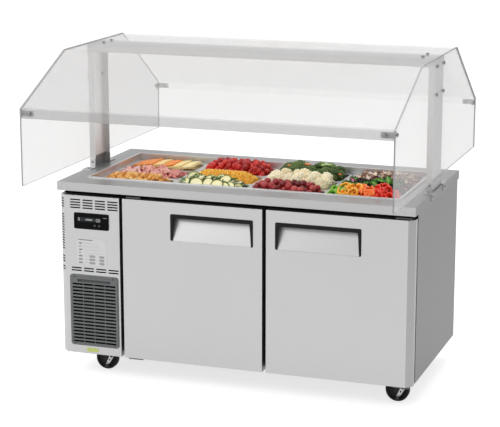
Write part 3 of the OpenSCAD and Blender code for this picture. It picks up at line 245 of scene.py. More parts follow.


# The doors' faces towards +X are darker: painted shade on the corner and its return.
door_steel = brushed_stainless("door_stainless", "#B7B7B7", "#BEBEBE", Z, 0.42, right=("#9E9E9E", "#A8A8A8"))
# Side and back panels are the doors' steel much darker: painted shade for the sides that face away from the
# light.
shaded_side_steel = brushed_stainless("shaded_side_stainless", "#787878", "#808080", Z, 0.45)
inner_steel = brushed_stainless("inner_stainless", "#4E4E4E", "#5A5A5A", Z, 0.5)
# The worktop's faces towards +X are darker: painted shade.
top_steel = brushed_stainless("worktop_stainless", "#ABABAB", "#B5B5B5", X, 0.38, depth=0.008,
                              right=("#6A6A6A", "#727272"))
# Well and pans are lighter than the other steel: a painted highlight for the bright rim, and painted light
# lifting the pan walls out of their shade.
lit_well_steel = brushed_stainless("lit_well_stainless", "#D4D4D4", "#DCDCDC", X, 0.42, depth=0.01)
lit_pan_steel = brushed_stainless("pan_stainless", "#D4D4D4", "#DEDEDE", X, 0.42, depth=0.01)
# The posts' faces towards +X are lighter, a painted highlight, and those below FOOT_LINE darker, painted
# shade.
post_steel = brushed_stainless("post_stainless", "#C8C8C8", "#D0D0D0", Z, 0.52,
                               right=("#E6E6E6", "#EEEEEE"), foot=("#A4A4A4", "#ACACAC"))
rail_steel = brushed_stainless("rail_stainless", "#BEBEBE", "#C6C6C6", X, 0.5)
dress(door_steel, "machine_front", "door_left_shell", "door_right_shell")
dress(shaded_side_steel, "side_panels", "back_panel")
dress(inner_steel, "base_pan", "machine_partition")
dress(top_steel, "worktop")
dress(lit_well_steel, "well_tub", "adapter_bars")
dress(lit_pan_steel, *[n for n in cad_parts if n.startswith("pan_")])
dress(post_steel, "guard_posts")
dress(rail_steel, "guard_rail")
print("steel finishes:", len([m for m in bpy.data.materials if m.name.endswith("_stainless")]))

# %% [markdown]
# ## Plated and bare small metal
# The guard's brackets are pressed stainless with a satin finish, so they take the brushed
# recipe, with painted shade on their faces towards +X below FOOT_LINE, where the post
# sockets are. Hinge plates take a dark tone, painted shade for the narrow gap over the
# doors where they sit. Bolts are plain and darker, and the cabinet is lined with bare
# aluminium sheet. Zinc has a faint blotchy bloom. The caster forks are black, dipped in an
# electric paint bath, so they are dressed with the paints below.

# %% Brackets, zinc, bolts and bare sheet
def plated_metal(name, dark, light, shine, bloom_mm):
    """Metal whose tone and gloss wander in patches of bloom_mm."""
    mat, tree, out, place = start_material(name)
    bloom = noise(tree, place, 1 / (bloom_mm * MM), 4.0)
    metal = add(tree, "ShaderNodeBsdfPrincipled", {
        "Base Color": mixed(tree, bloom, dark, light),
        "Roughness": spread(tree, bloom, shine - 0.06, shine + 0.08),
        "Normal": soft_edge(tree, 0.6),
    }, Metallic=1.0)
    tree.links.new(metal.outputs[0], out.inputs[0])
    return mat


zinc = plated_metal("bright_zinc_plate", "#A8A8A8", "#BEBEBE", 0.34, 9)
# Dark tone: painted shade for the gap over the doors where the hinge plates sit.
hinge_steel = plated_metal("shaded_hinge_steel", "#4C4C4D", "#626263", 0.42, 12)
# Below FOOT_LINE the brackets' +X faces are darker: painted shade in the post sockets.
bracket_steel = brushed_stainless("satin_bracket_steel", "#BEBEBE", "#CCCCCC", Z, 0.42, edge=0.6,
                                  right=("#BEBEBE", "#CCCCCC"), foot=("#7E7E7E", "#8A8A8A"))
bolt_metal = plated_metal("bolt_steel", "#77787A", "#8F9092", 0.34, 5)
liner_sheet = plated_metal("satin_aluminium_sheet", "#C4C6C7", "#D6D8D9", 0.38, 120)
coil_metal = plated_metal("dusty_coil_aluminium", "#3C3E40", "#4E5052", 0.55, 14)
dress(zinc, "caster_plates")
dress(hinge_steel, "hinge_plates")
dress(bracket_steel, "guard_brackets", "shelf_pilasters")
dress(bolt_metal, "guard_bolts")
dress(liner_sheet, "cabinet_liner")
dress(coil_metal, "condenser")
print("metal finishes:", len(bpy.data.materials))

# %% [markdown]
# ## Plastics, paint and rubber
# A moulded part keeps the fine spark texture of its mould, and a painted sheet has a
# slight orange peel. Both are shallow bumps, 0.6 to 2 mm across, under a plain colour.

# %% Moulded, painted and rubber finishes
MOULD_EDGE_MM = 0.8
PEBBLE_DEPTH = 0.0004


def moulded(name, dark, light, rough, texture_mm=0.6, depth=0.1, gloss=0.5):
    """A non-metal with a pebbled skin: fine noise for the bump, coarse noise for the tone."""
    mat, tree, out, place = start_material(name)
    pebble = noise(tree, place, 1 / (texture_mm * MM), 2.0)
    tone = noise(tree, place, 30.0, 3.0)
    skin = add(tree, "ShaderNodeBump", {"Height": pebble, "Normal": soft_edge(tree, MOULD_EDGE_MM)},
               Strength=depth, Distance=PEBBLE_DEPTH)
    body = add(tree, "ShaderNodeBsdfPrincipled", {
        "Base Color": mixed(tree, tone, dark, light),
        "Roughness": spread(tree, tone, rough - 0.05, rough + 0.05),
        "Normal": skin.outputs[0],
    }, Specular_IOR_Level=gloss)
    tree.links.new(body.outputs[0], out.inputs[0])
    return mat


pull_plastic = moulded("black_abs", "#1B1B1C", "#212122", 0.50, gloss=0.12)
bezel_plastic = moulded("glossy_black_abs", "#070708", "#0B0B0C", 0.30, depth=0.02, gloss=0.06)
window_plastic = moulded("smoked_window", "#1E2021", "#36393B", 0.20, depth=0.0, gloss=0.15)
button_plastic = moulded("grey_abs", "#3A3B3C", "#4A4B4C", 0.40, gloss=0.3)
frame_plastic = moulded("black_abs_frame", "#0D0D0E", "#121213", 0.60, gloss=0.12)
white_coat = moulded("white_coated_wire", "#DADBDC", "#E8E9EA", 0.35)
liner_plastic = moulded("pale_grey_sheet", "#D2D4D6", "#DCDEDF", 0.38)
cover_plastic = moulded("pale_moulded_cover", "#D6D8DA", "#E2E4E6", 0.42)
gasket_rubber = moulded("soft_gasket", "#1C1C1E", "#242426", 0.62, depth=0.05, gloss=0.2)
wheel_rubber = moulded("black_wheel_rubber", "#0E0E0F", "#151516", 0.55, texture_mm=1.5, depth=0.15,
                       gloss=0.2)
fork_paint = moulded("black_e_coat", "#131314", "#1B1B1C", 0.40, texture_mm=1.0, depth=0.03, gloss=0.25)
fan_plastic = moulded("black_fan_plastic", "#17181A", "#202123", 0.45)
compressor_paint = moulded("black_paint", "#0F1011", "#191A1C", 0.30, texture_mm=1.4, depth=0.05)
foam_skin = moulded("insulation_foam", "#D8CBA0", "#E6DBB6", 0.85, texture_mm=2.0, depth=0.4)
dress(pull_plastic, "door_left_pull", "door_right_pull")
dress(bezel_plastic, "control_bezel")
dress(window_plastic, "control_display")
dress(button_plastic, "button_left", "button_right")
dress(frame_plastic, "face_frame")
dress(white_coat, "shelves")
dress(liner_plastic, "door_left_liner", "door_right_liner")
dress(cover_plastic, "evaporator_unit")
dress(gasket_rubber, "door_left_gasket", "door_right_gasket")
dress(wheel_rubber, *[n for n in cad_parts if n.startswith("caster_wheel")])
dress(fork_paint, *[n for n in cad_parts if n.startswith("caster_fork")])
dress(fan_plastic, "condenser_fan")
dress(compressor_paint, "compressor")
dress(foam_skin, "cabinet_foam")
print("finishes so far:", len(bpy.data.materials))

# %% [markdown]
# The intake grille is one plastic moulding, grey in front. Behind its face the slots are
# deep and no light comes back, so the same mould is all but black there, apart from the
# shallow finger recess along its top, which stays grey.

# %% Intake grille
GRILLE_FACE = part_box("intake_grille")[0][1]
GRILLE_SKIN = 0.0015
RECESS_FROM_Z = 0.405


def grille_finish(name, front_light, front_dark, behind, recess_tone):
    """Grey down to GRILLE_SKIN behind the face; past that dark, or the recess's tone above its line."""
    mat, tree, out, place = start_material(name)
    inside = maths(tree, "GREATER_THAN", axis_of(tree, place, Y), GRILLE_FACE + GRILLE_SKIN)
    recess = maths(tree, "GREATER_THAN", axis_of(tree, place, Z), RECESS_FROM_Z)
    cloud = noise(tree, place, 6.0, 2.0)
    pebble = noise(tree, place, 800.0, 2.0)
    colour = mixed(tree, inside, mixed(tree, cloud, front_dark, front_light),
                   mixed(tree, recess, behind, recess_tone))
    skin = add(tree, "ShaderNodeBump", {"Height": pebble, "Normal": soft_edge(tree, MOULD_EDGE_MM)},
               Strength=0.06, Distance=PEBBLE_DEPTH)
    body = add(tree, "ShaderNodeBsdfPrincipled", {"Base Color": colour, "Normal": skin.outputs[0]},
               Roughness=0.5, Specular_IOR_Level=0.2)
    tree.links.new(body.outputs[0], out.inputs[0])
    return mat


dress(grille_finish("grey_moulded_grille", "#7A7B7C", "#68696A", "#0C0C0D", "#707172"), "intake_grille")
print("grille face at y, m:", round(GRILLE_FACE, 4))

# %% [markdown]
# The brake levers are zinc with a black vinyl foot. One mask on the height, in the part's
# own coordinates, changes one finish into the other.

# %% Brake levers
FOOT_TOP = 0.0275


def lever_finish():
    """Zinc above FOOT_TOP and black vinyl below it."""
    mat, tree, out, place = start_material("zinc_with_vinyl_foot")
    below = maths(tree, "LESS_THAN", axis_of(tree, place, Z), FOOT_TOP)
    bloom = noise(tree, place, 110.0, 3.0)
    metal = add(tree, "ShaderNodeBsdfPrincipled",
                {"Base Color": mixed(tree, bloom, "#A8A8A8", "#C0C0C0")}, Metallic=1.0, Roughness=0.36)
    vinyl = add(tree, "ShaderNodeBsdfPrincipled",
                {"Base Color": mixed(tree, bloom, "#121213", "#1C1C1D")}, Roughness=0.5)
    both = add(tree, "ShaderNodeMixShader", {0: below, 1: metal.outputs[0], 2: vinyl.outputs[0]})
    tree.links.new(both.outputs[0], out.inputs[0])
    return mat


dress(lever_finish(), "brake_lever_left", "brake_lever_right")
print("vinyl foot up to z, m:", FOOT_TOP)

# %% [markdown]
# ## The clear guard
# The guard is 6 mm clear acrylic. In a bright white studio a clear sheet isn't seen by what
# it bends but by the haze of light that its two faces throw back and let through: a pale,
# even veil that lets the salad show. So each face is a thin film that scatters as much
# light forwards as back, and a sheet's two faces together hide about half. The bent lip
# along the front is seen through more material and is denser. The front slope faces the
# key lamp, so its film is painted a little greyer, to look as even as the rest. The film is
# made thinner on the rear slope and lip as painted light: there it stands for sheet lit so
# brightly that it hardly shows. A sawn edge, known by the way it faces, is a solid grey
# line. Rays from the lamps pass as if the sheet weren't there, which keeps the salad under
# it bright.

# %% Clear acrylic
VEIL = "#E6E6E6"
LIT_VEIL = "#D8D8D8"
VEIL_HIDES = 0.30
LIP_VEIL = "#BBBBBB"
LIP_HIDES = 0.42
LIP_FROM_Y = 0.693
REAR_SLOPE_FROM_Y = 0.25
# The rear slope and lip hide less: painted light, for sheet lit so brightly that it hardly shows.
REAR_SLOPE_SHARE = 0.55
REAR_LIP_SHARE = 0.3
OUT_OF_REACH = 10.0
EDGE_FACING = 0.5
EDGE_DARK = "#9C9C9C"
EDGE_LIGHT = "#AEAEAE"


def film(tree, place, bent):
    """How much one face hides and its tone; OUT_OF_REACH leaves a flat sheet even all over."""
    lip_y, slope_y, lit_y = OUT_OF_REACH, OUT_OF_REACH, -OUT_OF_REACH
    if bent:
        lip_y, slope_y, lit_y = LIP_FROM_Y, REAR_SLOPE_FROM_Y, 0.0
    depth = axis_of(tree, place, Y)
    front_lip = maths(tree, "LESS_THAN", depth, -lip_y)
    rear_lip = maths(tree, "GREATER_THAN", depth, lip_y)
    rear_slope = maths(tree, "GREATER_THAN", depth, slope_y)
    lit = maths(tree, "LESS_THAN", depth, lit_y)
    share = maths(tree, "MULTIPLY", spread(tree, rear_slope, 1.0, REAR_SLOPE_SHARE),
                  spread(tree, rear_lip, 1.0, REAR_LIP_SHARE))
    hides = maths(tree, "MULTIPLY", spread(tree, front_lip, VEIL_HIDES, LIP_HIDES), share)
    return hides, mixed(tree, front_lip, mixed(tree, lit, VEIL, LIT_VEIL), LIP_VEIL)


def clear_acrylic(name, bent):
    """Clear sheet; an edge is where |normal X| is above EDGE_FACING if bent, and below it if flat."""
    mat, tree, out, place = start_material(name)
    facing = add(tree, "ShaderNodeNewGeometry").outputs["Normal"]
    across = maths(tree, "ABSOLUTE", axis_of(tree, facing, X))
    is_edge = maths(tree, "GREATER_THAN" if bent else "LESS_THAN", across, EDGE_FACING)
    hides, tone = film(tree, place, bent)
    thrown_back = add(tree, "ShaderNodeBsdfPrincipled", {"Base Color": tone, "Alpha": hides},
                      Roughness=0.25, IOR=1.49, Specular_IOR_Level=0.15)
    passed = add(tree, "ShaderNodeMixShader", {
        0: hides,
        1: add(tree, "ShaderNodeBsdfTransparent", Color=linear("#FFFFFF")).outputs[0],
        2: add(tree, "ShaderNodeBsdfTranslucent", {"Color": tone}).outputs[0],
    })
    haze = add(tree, "ShaderNodeMixShader", {1: thrown_back.outputs[0], 2: passed.outputs[0]}, Fac=0.5)
    nearly_clear = add(tree, "ShaderNodeBsdfTransparent", Color=linear("#FAFAFA"))
    pane = add(tree, "ShaderNodeMixShader", {
        0: ray_is(tree, "Shadow", "Diffuse"), 1: haze.outputs[0], 2: nearly_clear.outputs[0],
    })
    saw = noise(tree, place, 90.0, 2.0)
    edge = add(tree, "ShaderNodeBsdfPrincipled", {"Base Color": mixed(tree, saw, EDGE_DARK, EDGE_LIGHT)},
               Roughness=0.45, Specular_IOR_Level=0.2)
    both = add(tree, "ShaderNodeMixShader", {0: is_edge, 1: pane.outputs[0], 2: edge.outputs[0]})
    tree.links.new(both.outputs[0], out.inputs[0])
    return mat


dress(clear_acrylic("acrylic_end_panel", bent=False), "end_panels")
dress(clear_acrylic("acrylic_canopy", bent=True), "canopy")
print("two faces of the sheet hide:", round(1 - (1 - VEIL_HIDES) ** 2, 2))

# %% [markdown]
# ## Shapes from arrays
# The food is made of a few small templates, each worked out on a grid of two parameters,
# then copied hundreds of times with its own turn, size and tint. All copies of one food
# are one mesh, so a pan of corn costs one object, and its material reads the tint that
# each copy carries.

# %% Arrays into meshes
def new_piece(name, verts, quads, tris=None, tint=None, smooth=True):
    """A mesh from an (n, 3) array of points, and arrays of four- and three-sided faces."""
    quads = np.asarray(quads, dtype=np.int32).reshape(-1, 4)
    tris = np.zeros((0, 3), np.int32) if tris is None else np.asarray(tris, dtype=np.int32).reshape(-1, 3)
    mesh = bpy.data.meshes.new(name)
    mesh.vertices.add(len(verts))
    mesh.vertices.foreach_set("co", np.asarray(verts, dtype=np.float32).ravel())
    mesh.loops.add(quads.size + tris.size)
    mesh.loops.foreach_set("vertex_index", np.concatenate([quads.ravel(), tris.ravel()]))
    starts = np.concatenate([np.arange(len(quads)) * 4, quads.size + np.arange(len(tris)) * 3])
    mesh.polygons.add(len(starts))
    mesh.polygons.foreach_set("loop_start", starts.astype(np.int32))
    mesh.update(calc_edges=True)
    mesh.polygons.foreach_set("use_smooth", np.full(len(starts), smooth))
    if tint is not None:
        mesh.attributes.new("tint", "FLOAT", "POINT").data.foreach_set("value", np.asarray(tint, np.float32))
    piece = bpy.data.objects.new(name, mesh)
    bpy.context.scene.collection.objects.link(piece)
    return piece


def grid_faces(rows, cols, wrap_cols=False):
    """Quads between the rows and columns of a grid of points; wrap_cols closes it round."""
    r = np.arange(rows - 1)[:, None]
    c = np.arange(cols if wrap_cols else cols - 1)[None, :]
    here, beside = r * cols + c, r * cols + (c + 1) % cols
    return np.stack([here, beside, beside + cols, here + cols], -1).reshape(-1, 4)


def border(rows, cols):
    """The point numbers round the edge of a grid, and the one that follows each."""
    index = np.arange(rows * cols).reshape(rows, cols)
    rim = np.concatenate([index[0, :-1], index[:-1, -1], index[-1, :0:-1], index[:0:-1, 0]])
    return rim, np.roll(rim, -1)


print("faces in a grid of 3 by 3 points:", len(grid_faces(3, 3)))

# %% [markdown]
# Two solids serve for most food. A ball can be squashed, squared or dented into a tomato,
# a crouton or a floret, and a slab gives thickness to any curved sheet of points.

# %% Balls, slabs and discs
def ball(rows, cols, power=1.0):
    """Closed ball: latitude circles between two poles. power below 1 squares it towards a cube."""
    lat = np.linspace(-np.pi / 2, np.pi / 2, rows + 2)[1:-1]
    lon = np.linspace(0, 2 * np.pi, cols, endpoint=False)
    lat, lon = np.meshgrid(lat, lon, indexing="ij")

    def soft(v):
        return np.sign(v) * np.abs(v) ** power

    flat = soft(np.cos(lat))
    verts = np.stack([flat * soft(np.cos(lon)), flat * soft(np.sin(lon)), soft(np.sin(lat))], -1)
    verts = np.vstack([verts.reshape(-1, 3), [[0, 0, -1], [0, 0, 1]]])
    c = np.arange(cols)
    low, high = np.full(cols, rows * cols), np.full(cols, rows * cols + 1)
    last = (rows - 1) * cols
    tris = np.vstack([np.stack([low, (c + 1) % cols, c], -1),
                      np.stack([high, last + c, last + (c + 1) % cols], -1)])
    return verts, grid_faces(rows, cols, True), tris


def slab(top, thickness):
    """A closed slice: a grid of points moved half a thickness each way, and a wall round both."""
    rows, cols = top.shape[:2]
    flat = top.reshape(-1, 3)
    normal = np.cross(np.gradient(top, axis=0), np.gradient(top, axis=1)).reshape(-1, 3)
    normal /= np.linalg.norm(normal, axis=1, keepdims=True) + 1e-12
    verts = np.vstack([flat + normal * thickness / 2, flat - normal * thickness / 2])
    n = rows * cols
    lower = grid_faces(rows, cols) + n
    rim, after = border(rows, cols)
    wall = np.stack([rim, after, after + n, rim + n], -1)
    return verts, np.vstack([lower[:, ::-1] - n, lower, wall]), None


def disc_grid(rings, cols, radius=1.0):
    """A round sheet as a grid: a square grid whose outer ring is pulled on to a circle."""
    u, v = np.meshgrid(np.linspace(-1, 1, rings), np.linspace(-1, 1, cols), indexing="ij")
    x = u * np.sqrt(1 - v * v / 2)
    y = v * np.sqrt(1 - u * u / 2)
    return np.stack([x * radius, y * radius, np.zeros_like(x)], -1)


print("points in a ball of 5 rows and 8 columns:", len(ball(5, 8)[0]))

# %% [markdown]
# A template is turned, sized and placed many times at once: all the turns are one array of
# matrices, so no loop runs over the copies.

# %% Turns and copies
def turn_about(axis, angle):
    """Turns by each of the angles about X, Y or Z, as 3 x 3 matrices."""
    angle = np.atleast_1d(angle)
    i, j = (axis + 1) % 3, (axis + 2) % 3
    turn = np.zeros((len(angle), 3, 3))
    turn[:, axis, axis] = 1
    turn[:, i, i] = turn[:, j, j] = np.cos(angle)
    turn[:, j, i] = np.sin(angle)
    turn[:, i, j] = -turn[:, j, i]
    return turn


def turns(rng, count, tilt=np.pi):
    """Random turns: a spin about Z, a lean of up to tilt about a level axis, and a spin again."""
    a, b = rng.uniform(0, 2 * np.pi, (2, count))
    lean = tilt * np.sqrt(rng.uniform(0, 1, count))
    return turn_about(Z, a) @ turn_about(X, lean) @ turn_about(Z, b)


def leant(rng, count, forward, wander):
    """Turns that first spin about Z, then lean towards the front by forward, give or take wander."""
    lean = forward + rng.normal(0, wander, count)
    roll = rng.normal(0, wander, count)
    return turn_about(Y, roll) @ turn_about(X, lean) @ turns(rng, count, 0.01)


def copies(template, turn, size, place, tint):
    """Every copy is the template, scaled, turned and moved; faces are renumbered copy by copy."""
    verts, quads, tris = template
    size = np.asarray(size, dtype=float)
    size = size[:, None] if size.ndim == 1 else size
    points = np.einsum("kij,knj->kni", turn, verts[None] * size[:, None, :]) + place[:, None, :]
    step = (np.arange(len(place)) * len(verts))[:, None, None]
    all_quads = (quads[None] + step).reshape(-1, 4)
    all_tris = None if tris is None else (tris[None] + step).reshape(-1, 3)
    return points.reshape(-1, 3), all_quads, all_tris, np.repeat(tint, len(verts))


def tinted_copies(rng, template, tint, turn, size, place, wander):
    """Copies of a template that has a tint for each point; each copy's tints shift within wander."""
    points, quads, tris, _ = copies(template, turn, size, place, np.zeros(len(place)))
    shift = np.repeat(rng.uniform(*wander, len(place)), len(tint))
    return points, quads, tris, np.tile(tint, len(place)) + shift


def joined(name, parts, smooth=True):
    """One piece from several (points, quads, tris, tint) parts."""
    offset, verts, quads, tris, tints = 0, [], [], [], []
    for points, four, three, tint in parts:
        verts.append(points)
        quads.append(np.asarray(four).reshape(-1, 4) + offset)
        if three is not None:
            tris.append(three + offset)
        tints.append(np.broadcast_to(tint, len(points)))
        offset += len(points)
    return new_piece(name, np.vstack(verts), np.vstack(quads), np.vstack(tris) if tris else None,
                     np.concatenate(tints), smooth)


print("a quarter turn about Z:", turn_about(Z, np.pi / 2).round(3).tolist())

# %% [markdown]
# ## Where the salad lies
# A third-size pan is 325 by 176 mm over its flange and 100 mm deep. Food is piled a
# little above the flange, highest in the middle: the heap is a dome that falls to the
# walls, and more steeply at its ends, where the flanges show between the pans. Items are
# set on it by a jittered grid, which keeps them evenly packed without looking laid out.

# %% The pans and their heaps
FLANGE_WIDTH = 0.0135
PAN_BASE = 0.003
HEAP_CLEAR = 0.003
END_FALL = 0.022
END_FALL_FROM = 0.6
END_INSET = 0.008
BED_GRID = (12, 22)
BED_CORNER = 0.12


class Pan:
    """One pan: its centre, the half sizes of its inside and the height of its flange."""

    def __init__(self, row, column):
        self.name = f"pan_{row}_{column}"
        low, high = (np.array(corner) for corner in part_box(self.name))
        self.middle = (low + high) / 2
        self.half = (high - low)[:2] / 2 - FLANGE_WIDTH - HEAP_CLEAR
        self.rim = float(high[2])
        self.floor = float(low[2]) + PAN_BASE
        self.rng = np.random.default_rng(sum(map(ord, self.name)) * 7 + column)

    def heap(self, u, v, edge, rise):
        """rim + edge + rise (1 - u^4)(1 - v^2) for u, v in -1..1, less a straight fall at the ends."""
        fall = END_FALL * np.clip((np.abs(u) - END_FALL_FROM) / (1 - END_FALL_FROM), 0, 1)
        return self.rim + edge + rise * (1 - u ** 4) * (1 - v ** 2) - fall

    def on_heap(self, u, v, edge, rise=0.016):
        """The points (x, y, z) of the heap at u, v."""
        x = self.middle[0] + u * self.half[0]
        y = self.middle[1] + v * self.half[1]
        return np.stack([x, y, self.heap(u, v, edge, rise)], -1)

    def scatter(self, across, along, edge, rise, reach=0.95, jitter=0.35, inset=0.010):
        """Places for across x along items over the heap, whose middles stay an inset from the walls."""
        far_u, far_v = np.minimum(reach, 1 - (inset + np.array([END_INSET, 0.0])) / self.half)
        u, v = np.meshgrid(np.linspace(-far_u, far_u, across), np.linspace(-far_v, far_v, along))
        u = u.ravel() + self.rng.uniform(-1, 1, u.size) * jitter * 2 * far_u / across
        v = v.ravel() + self.rng.uniform(-1, 1, v.size) * jitter * 2 * far_v / along
        return self.on_heap(np.clip(u, -far_u, far_u), np.clip(v, -far_v, far_v), edge, rise)

    def layers(self, *rows):
        """Places for several layers, the lowest first; each row holds what one scatter is told."""
        return np.vstack([self.scatter(**row) for row in rows])

    def bed(self, edge, rise, lumps=0.003, tint=0.0):
        """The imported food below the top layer: a lumpy closed block with round corners."""
        rows, cols = BED_GRID
        v, u = np.meshgrid(np.linspace(-1, 1, rows), np.linspace(-1, 1, cols), indexing="ij")
        x = self.middle[0] + self.half[0] * u * (1 - BED_CORNER * (np.abs(v) ** 6))
        y = self.middle[1] + self.half[1] * v * (1 - BED_CORNER * (np.abs(u) ** 12))
        z = self.heap(u, v, edge, rise) + self.rng.normal(0, lumps, u.shape)
        top = np.stack([x, y, z], -1).reshape(-1, 3)
        base = top * [1, 1, 0] + [0, 0, self.floor]
        n = rows * cols
        upper = grid_faces(rows, cols)
        rim, after = border(rows, cols)
        wall = np.stack([after, rim, rim + n, after + n], -1)
        return np.vstack([top, base]), np.vstack([upper, upper[:, ::-1] + n, wall]), None, tint


ROWS = ("rear", "middle", "front")
PANS = {(row, column): Pan(row, column) for row in ROWS for column in (1, 2, 3, 4)}
print("inside of a pan, m:", (PANS["front", 1].half * 2).round(3))

# %% [markdown]
# ## The look of food
# Most salad is wet and a little translucent, so light goes in and comes out coloured.
# Each food takes a row of colours that its items' tints pick from, a fine bump for its
# skin, and a gloss between a crouton's and a tomato's.

# %% Food finishes
INNER_WEIGHT = 0.35
SKIN_DEPTH = 0.0006


def food_finish(name, colours, rough, grain_mm=2.0, bump=0.3, inner=0.0, coat=0.0, mottle=0.25):
    """Colours along the tint, mottled by noise; inner is how far light spreads inside, in mm."""
    mat, tree, out, place = start_material(name)
    tint = add(tree, "ShaderNodeAttribute", attribute_name="tint").outputs["Fac"]
    grain = noise(tree, place, 1 / (grain_mm * MM), 3.0)
    where = maths(tree, "ADD", tint, spread(tree, grain, -mottle, mottle))
    ramp = add(tree, "ShaderNodeValToRGB", {0: where})
    stops = ramp.color_ramp.elements
    while len(stops) < len(colours):
        stops.new(0.5)
    for i, hex_code in enumerate(colours):
        stops[i].position = i / max(1, len(colours) - 1)
        stops[i].color = linear(hex_code)
    skin = add(tree, "ShaderNodeBump", {"Height": grain}, Strength=bump, Distance=SKIN_DEPTH)
    food = add(tree, "ShaderNodeBsdfPrincipled", {"Base Color": ramp.outputs[0], "Normal": skin.outputs[0]},
               Roughness=rough, Coat_Weight=coat, Coat_Roughness=0.08)
    if inner:
        food.inputs["Subsurface Weight"].default_value = INNER_WEIGHT
        food.inputs["Subsurface Radius"].default_value = (inner * MM, inner * 0.6 * MM, inner * 0.4 * MM)
        food.inputs["Subsurface Scale"].default_value = 1.0
    tree.links.new(food.outputs[0], out.inputs[0])
    return mat


def serve(piece, pan, mat):
    """A finished food rides on its pan and takes its finish."""
    piece.data.materials.append(mat)
    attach(piece, pan.name)
    print(f"{piece.name} in {pan.name}:", len(piece.data.vertices), "points")


# %% [markdown]
# ### Cheese slices
# Slices of 98 by 124 mm lie in short stacks, and the stacks are shingled along the pan
# like tiles, orange ones and pale ones in turn. A slice sags a little towards its corners.

# %% Cheese
STACK_TINTS = (0.9, 0.75, 0.0, 0.6, 0.05)
STACK_SLICES = 3
STACK_STRIDE = 0.0450
STACK_LEAN = math.radians(9)
SLICE_SIZE = (0.098, 0.124, 0.0030)


def make_cheese(pan):
    """Slice (i, j) starts i strides along the pan and j thicknesses up, and leans by STACK_LEAN."""
    length, width, thick = SLICE_SIZE
    u, v = np.meshgrid(np.linspace(-1, 1, 9), np.linspace(-1, 1, 9), indexing="ij")
    parts = []
    for i, tint in enumerate(STACK_TINTS):
        for j in range(STACK_SLICES):
            droop = -0.0014 * (u ** 2 + v ** 2) + pan.rng.uniform(-0.001, 0.001) * u * v
            slice_ = slab(np.stack([u * length / 2, v * width / 2, droop], -1), thick)
            along = STACK_STRIDE * (len(STACK_TINTS) / 2 - 0.5 - i)
            x = pan.middle[0] + along + pan.rng.uniform(-0.003, 0.003)
            y = pan.middle[1] - 0.004 + pan.rng.uniform(-0.003, 0.003)
            place = np.array([[x, y, pan.rim + 0.006 + j * thick * 1.05]])
            parts.append(copies(slice_, turn_about(Y, -STACK_LEAN), np.ones(1), place, np.array([tint])))
    parts.append(pan.bed(-0.012, 0.0, tint=0.9))
    return joined("cheese_slices", parts)


cheese_mat = food_finish("cheese", ["#F28A30", "#F5AC62", "#F6D892", "#F4E2A8"], 0.48, grain_mm=5, bump=0.15,
                         inner=3, mottle=0.10)
serve(make_cheese(PANS["rear", 1]), PANS["rear", 1], cheese_mat)

# %% [markdown]
# ### Ham
# Thin slices folded loosely over themselves: one sheet whose height follows waves along
# its length, so that it stands in ruffles. The slices at the left are broad and pale;
# those at the right are shaved finer and are a deeper red.

# %% Ham
HAM_THICK = 0.0018


def make_ham(pan):
    """Sheet height = wave(u) * (0.6 + 0.4 v) + bow(u); more waves and a smaller sheet to the right."""
    parts = []
    places = pan.layers(dict(across=8, along=4, edge=-0.008, rise=0.010, reach=0.80, jitter=0.3, inset=0.024),
                        dict(across=6, along=3, edge=-0.002, rise=0.012, reach=0.66, jitter=0.3))
    for place in places:
        share = np.clip((place[0] - pan.middle[0]) / pan.half[0] * 0.5 + 0.5, 0, 1)
        u, v = np.meshgrid(np.linspace(-1, 1, 30), np.linspace(-1, 1, 7), indexing="ij")
        waves = 1.6 + 2.0 * share + pan.rng.uniform(-0.3, 0.3)
        wave = (0.008 - 0.002 * share) * np.sin(u * np.pi * waves + pan.rng.uniform(0, 6))
        z = wave * (0.6 + 0.4 * v) + 0.006 * np.cos(u * 2.5)
        reach, width = 0.034 - 0.006 * share, 0.024 - 0.008 * share
        sheet = np.stack([u * reach, v * width + 0.006 * np.sin(3 * u), z], -1)
        tint = np.clip(share * 0.8 + pan.rng.uniform(-0.15, 0.25), 0, 1)
        parts.append(copies(slab(sheet, HAM_THICK), turns(pan.rng, 1, 0.7), np.ones(1), place[None],
                            np.array([tint])))
    parts.append(pan.bed(-0.018, 0.008, tint=0.9))
    return joined("ham_folds", parts)


ham_mat = food_finish("cooked_ham", ["#F4C9BE", "#EFB6AA", "#E09488", "#C4625A"], 0.42, grain_mm=6, bump=0.3,
                      inner=3, coat=0.08, mottle=0.22)
serve(make_ham(PANS["middle", 1]), PANS["middle", 1], ham_mat)

# %% [markdown]
# ### Croutons
# Torn bread, fried golden: chunks of about 12 to 29 mm with worn corners. A ball squared
# by a power of its sines and cosines is a cube with rounded edges, and waves on its
# radius give the torn crumb.

# %% Croutons
CROUTON_HALF = (0.0078, 0.0122)
CROUTON_STRETCH = (0.75, 1.2)


def make_croutons(pan):
    """Radius = 1 + 0.14 sin(5x + 3y) cos(4z) + 0.06 sin(11x) sin(9y + 2z)."""
    points, quads, tris = ball(11, 16, power=0.62)
    x, y, z = points[:, :1], points[:, 1:2], points[:, 2:]
    torn = 1 + 0.14 * np.sin(5 * x + 3 * y) * np.cos(4 * z) + 0.06 * np.sin(11 * x) * np.sin(9 * y + 2 * z)
    places = pan.layers(dict(across=13, along=6, edge=0.003, rise=0.012, inset=0.012),
                        dict(across=11, along=5, edge=0.010, rise=0.016, reach=0.82, jitter=0.5))
    count = len(places)
    size = pan.rng.uniform(*CROUTON_HALF, (count, 1)) * pan.rng.uniform(*CROUTON_STRETCH, (count, 3))
    body = copies((points * torn, quads, tris), turns(pan.rng, count), size, places,
                  pan.rng.uniform(0.1, 1, count))
    return joined("croutons", [body, pan.bed(-0.006, 0.012, tint=0.1)])


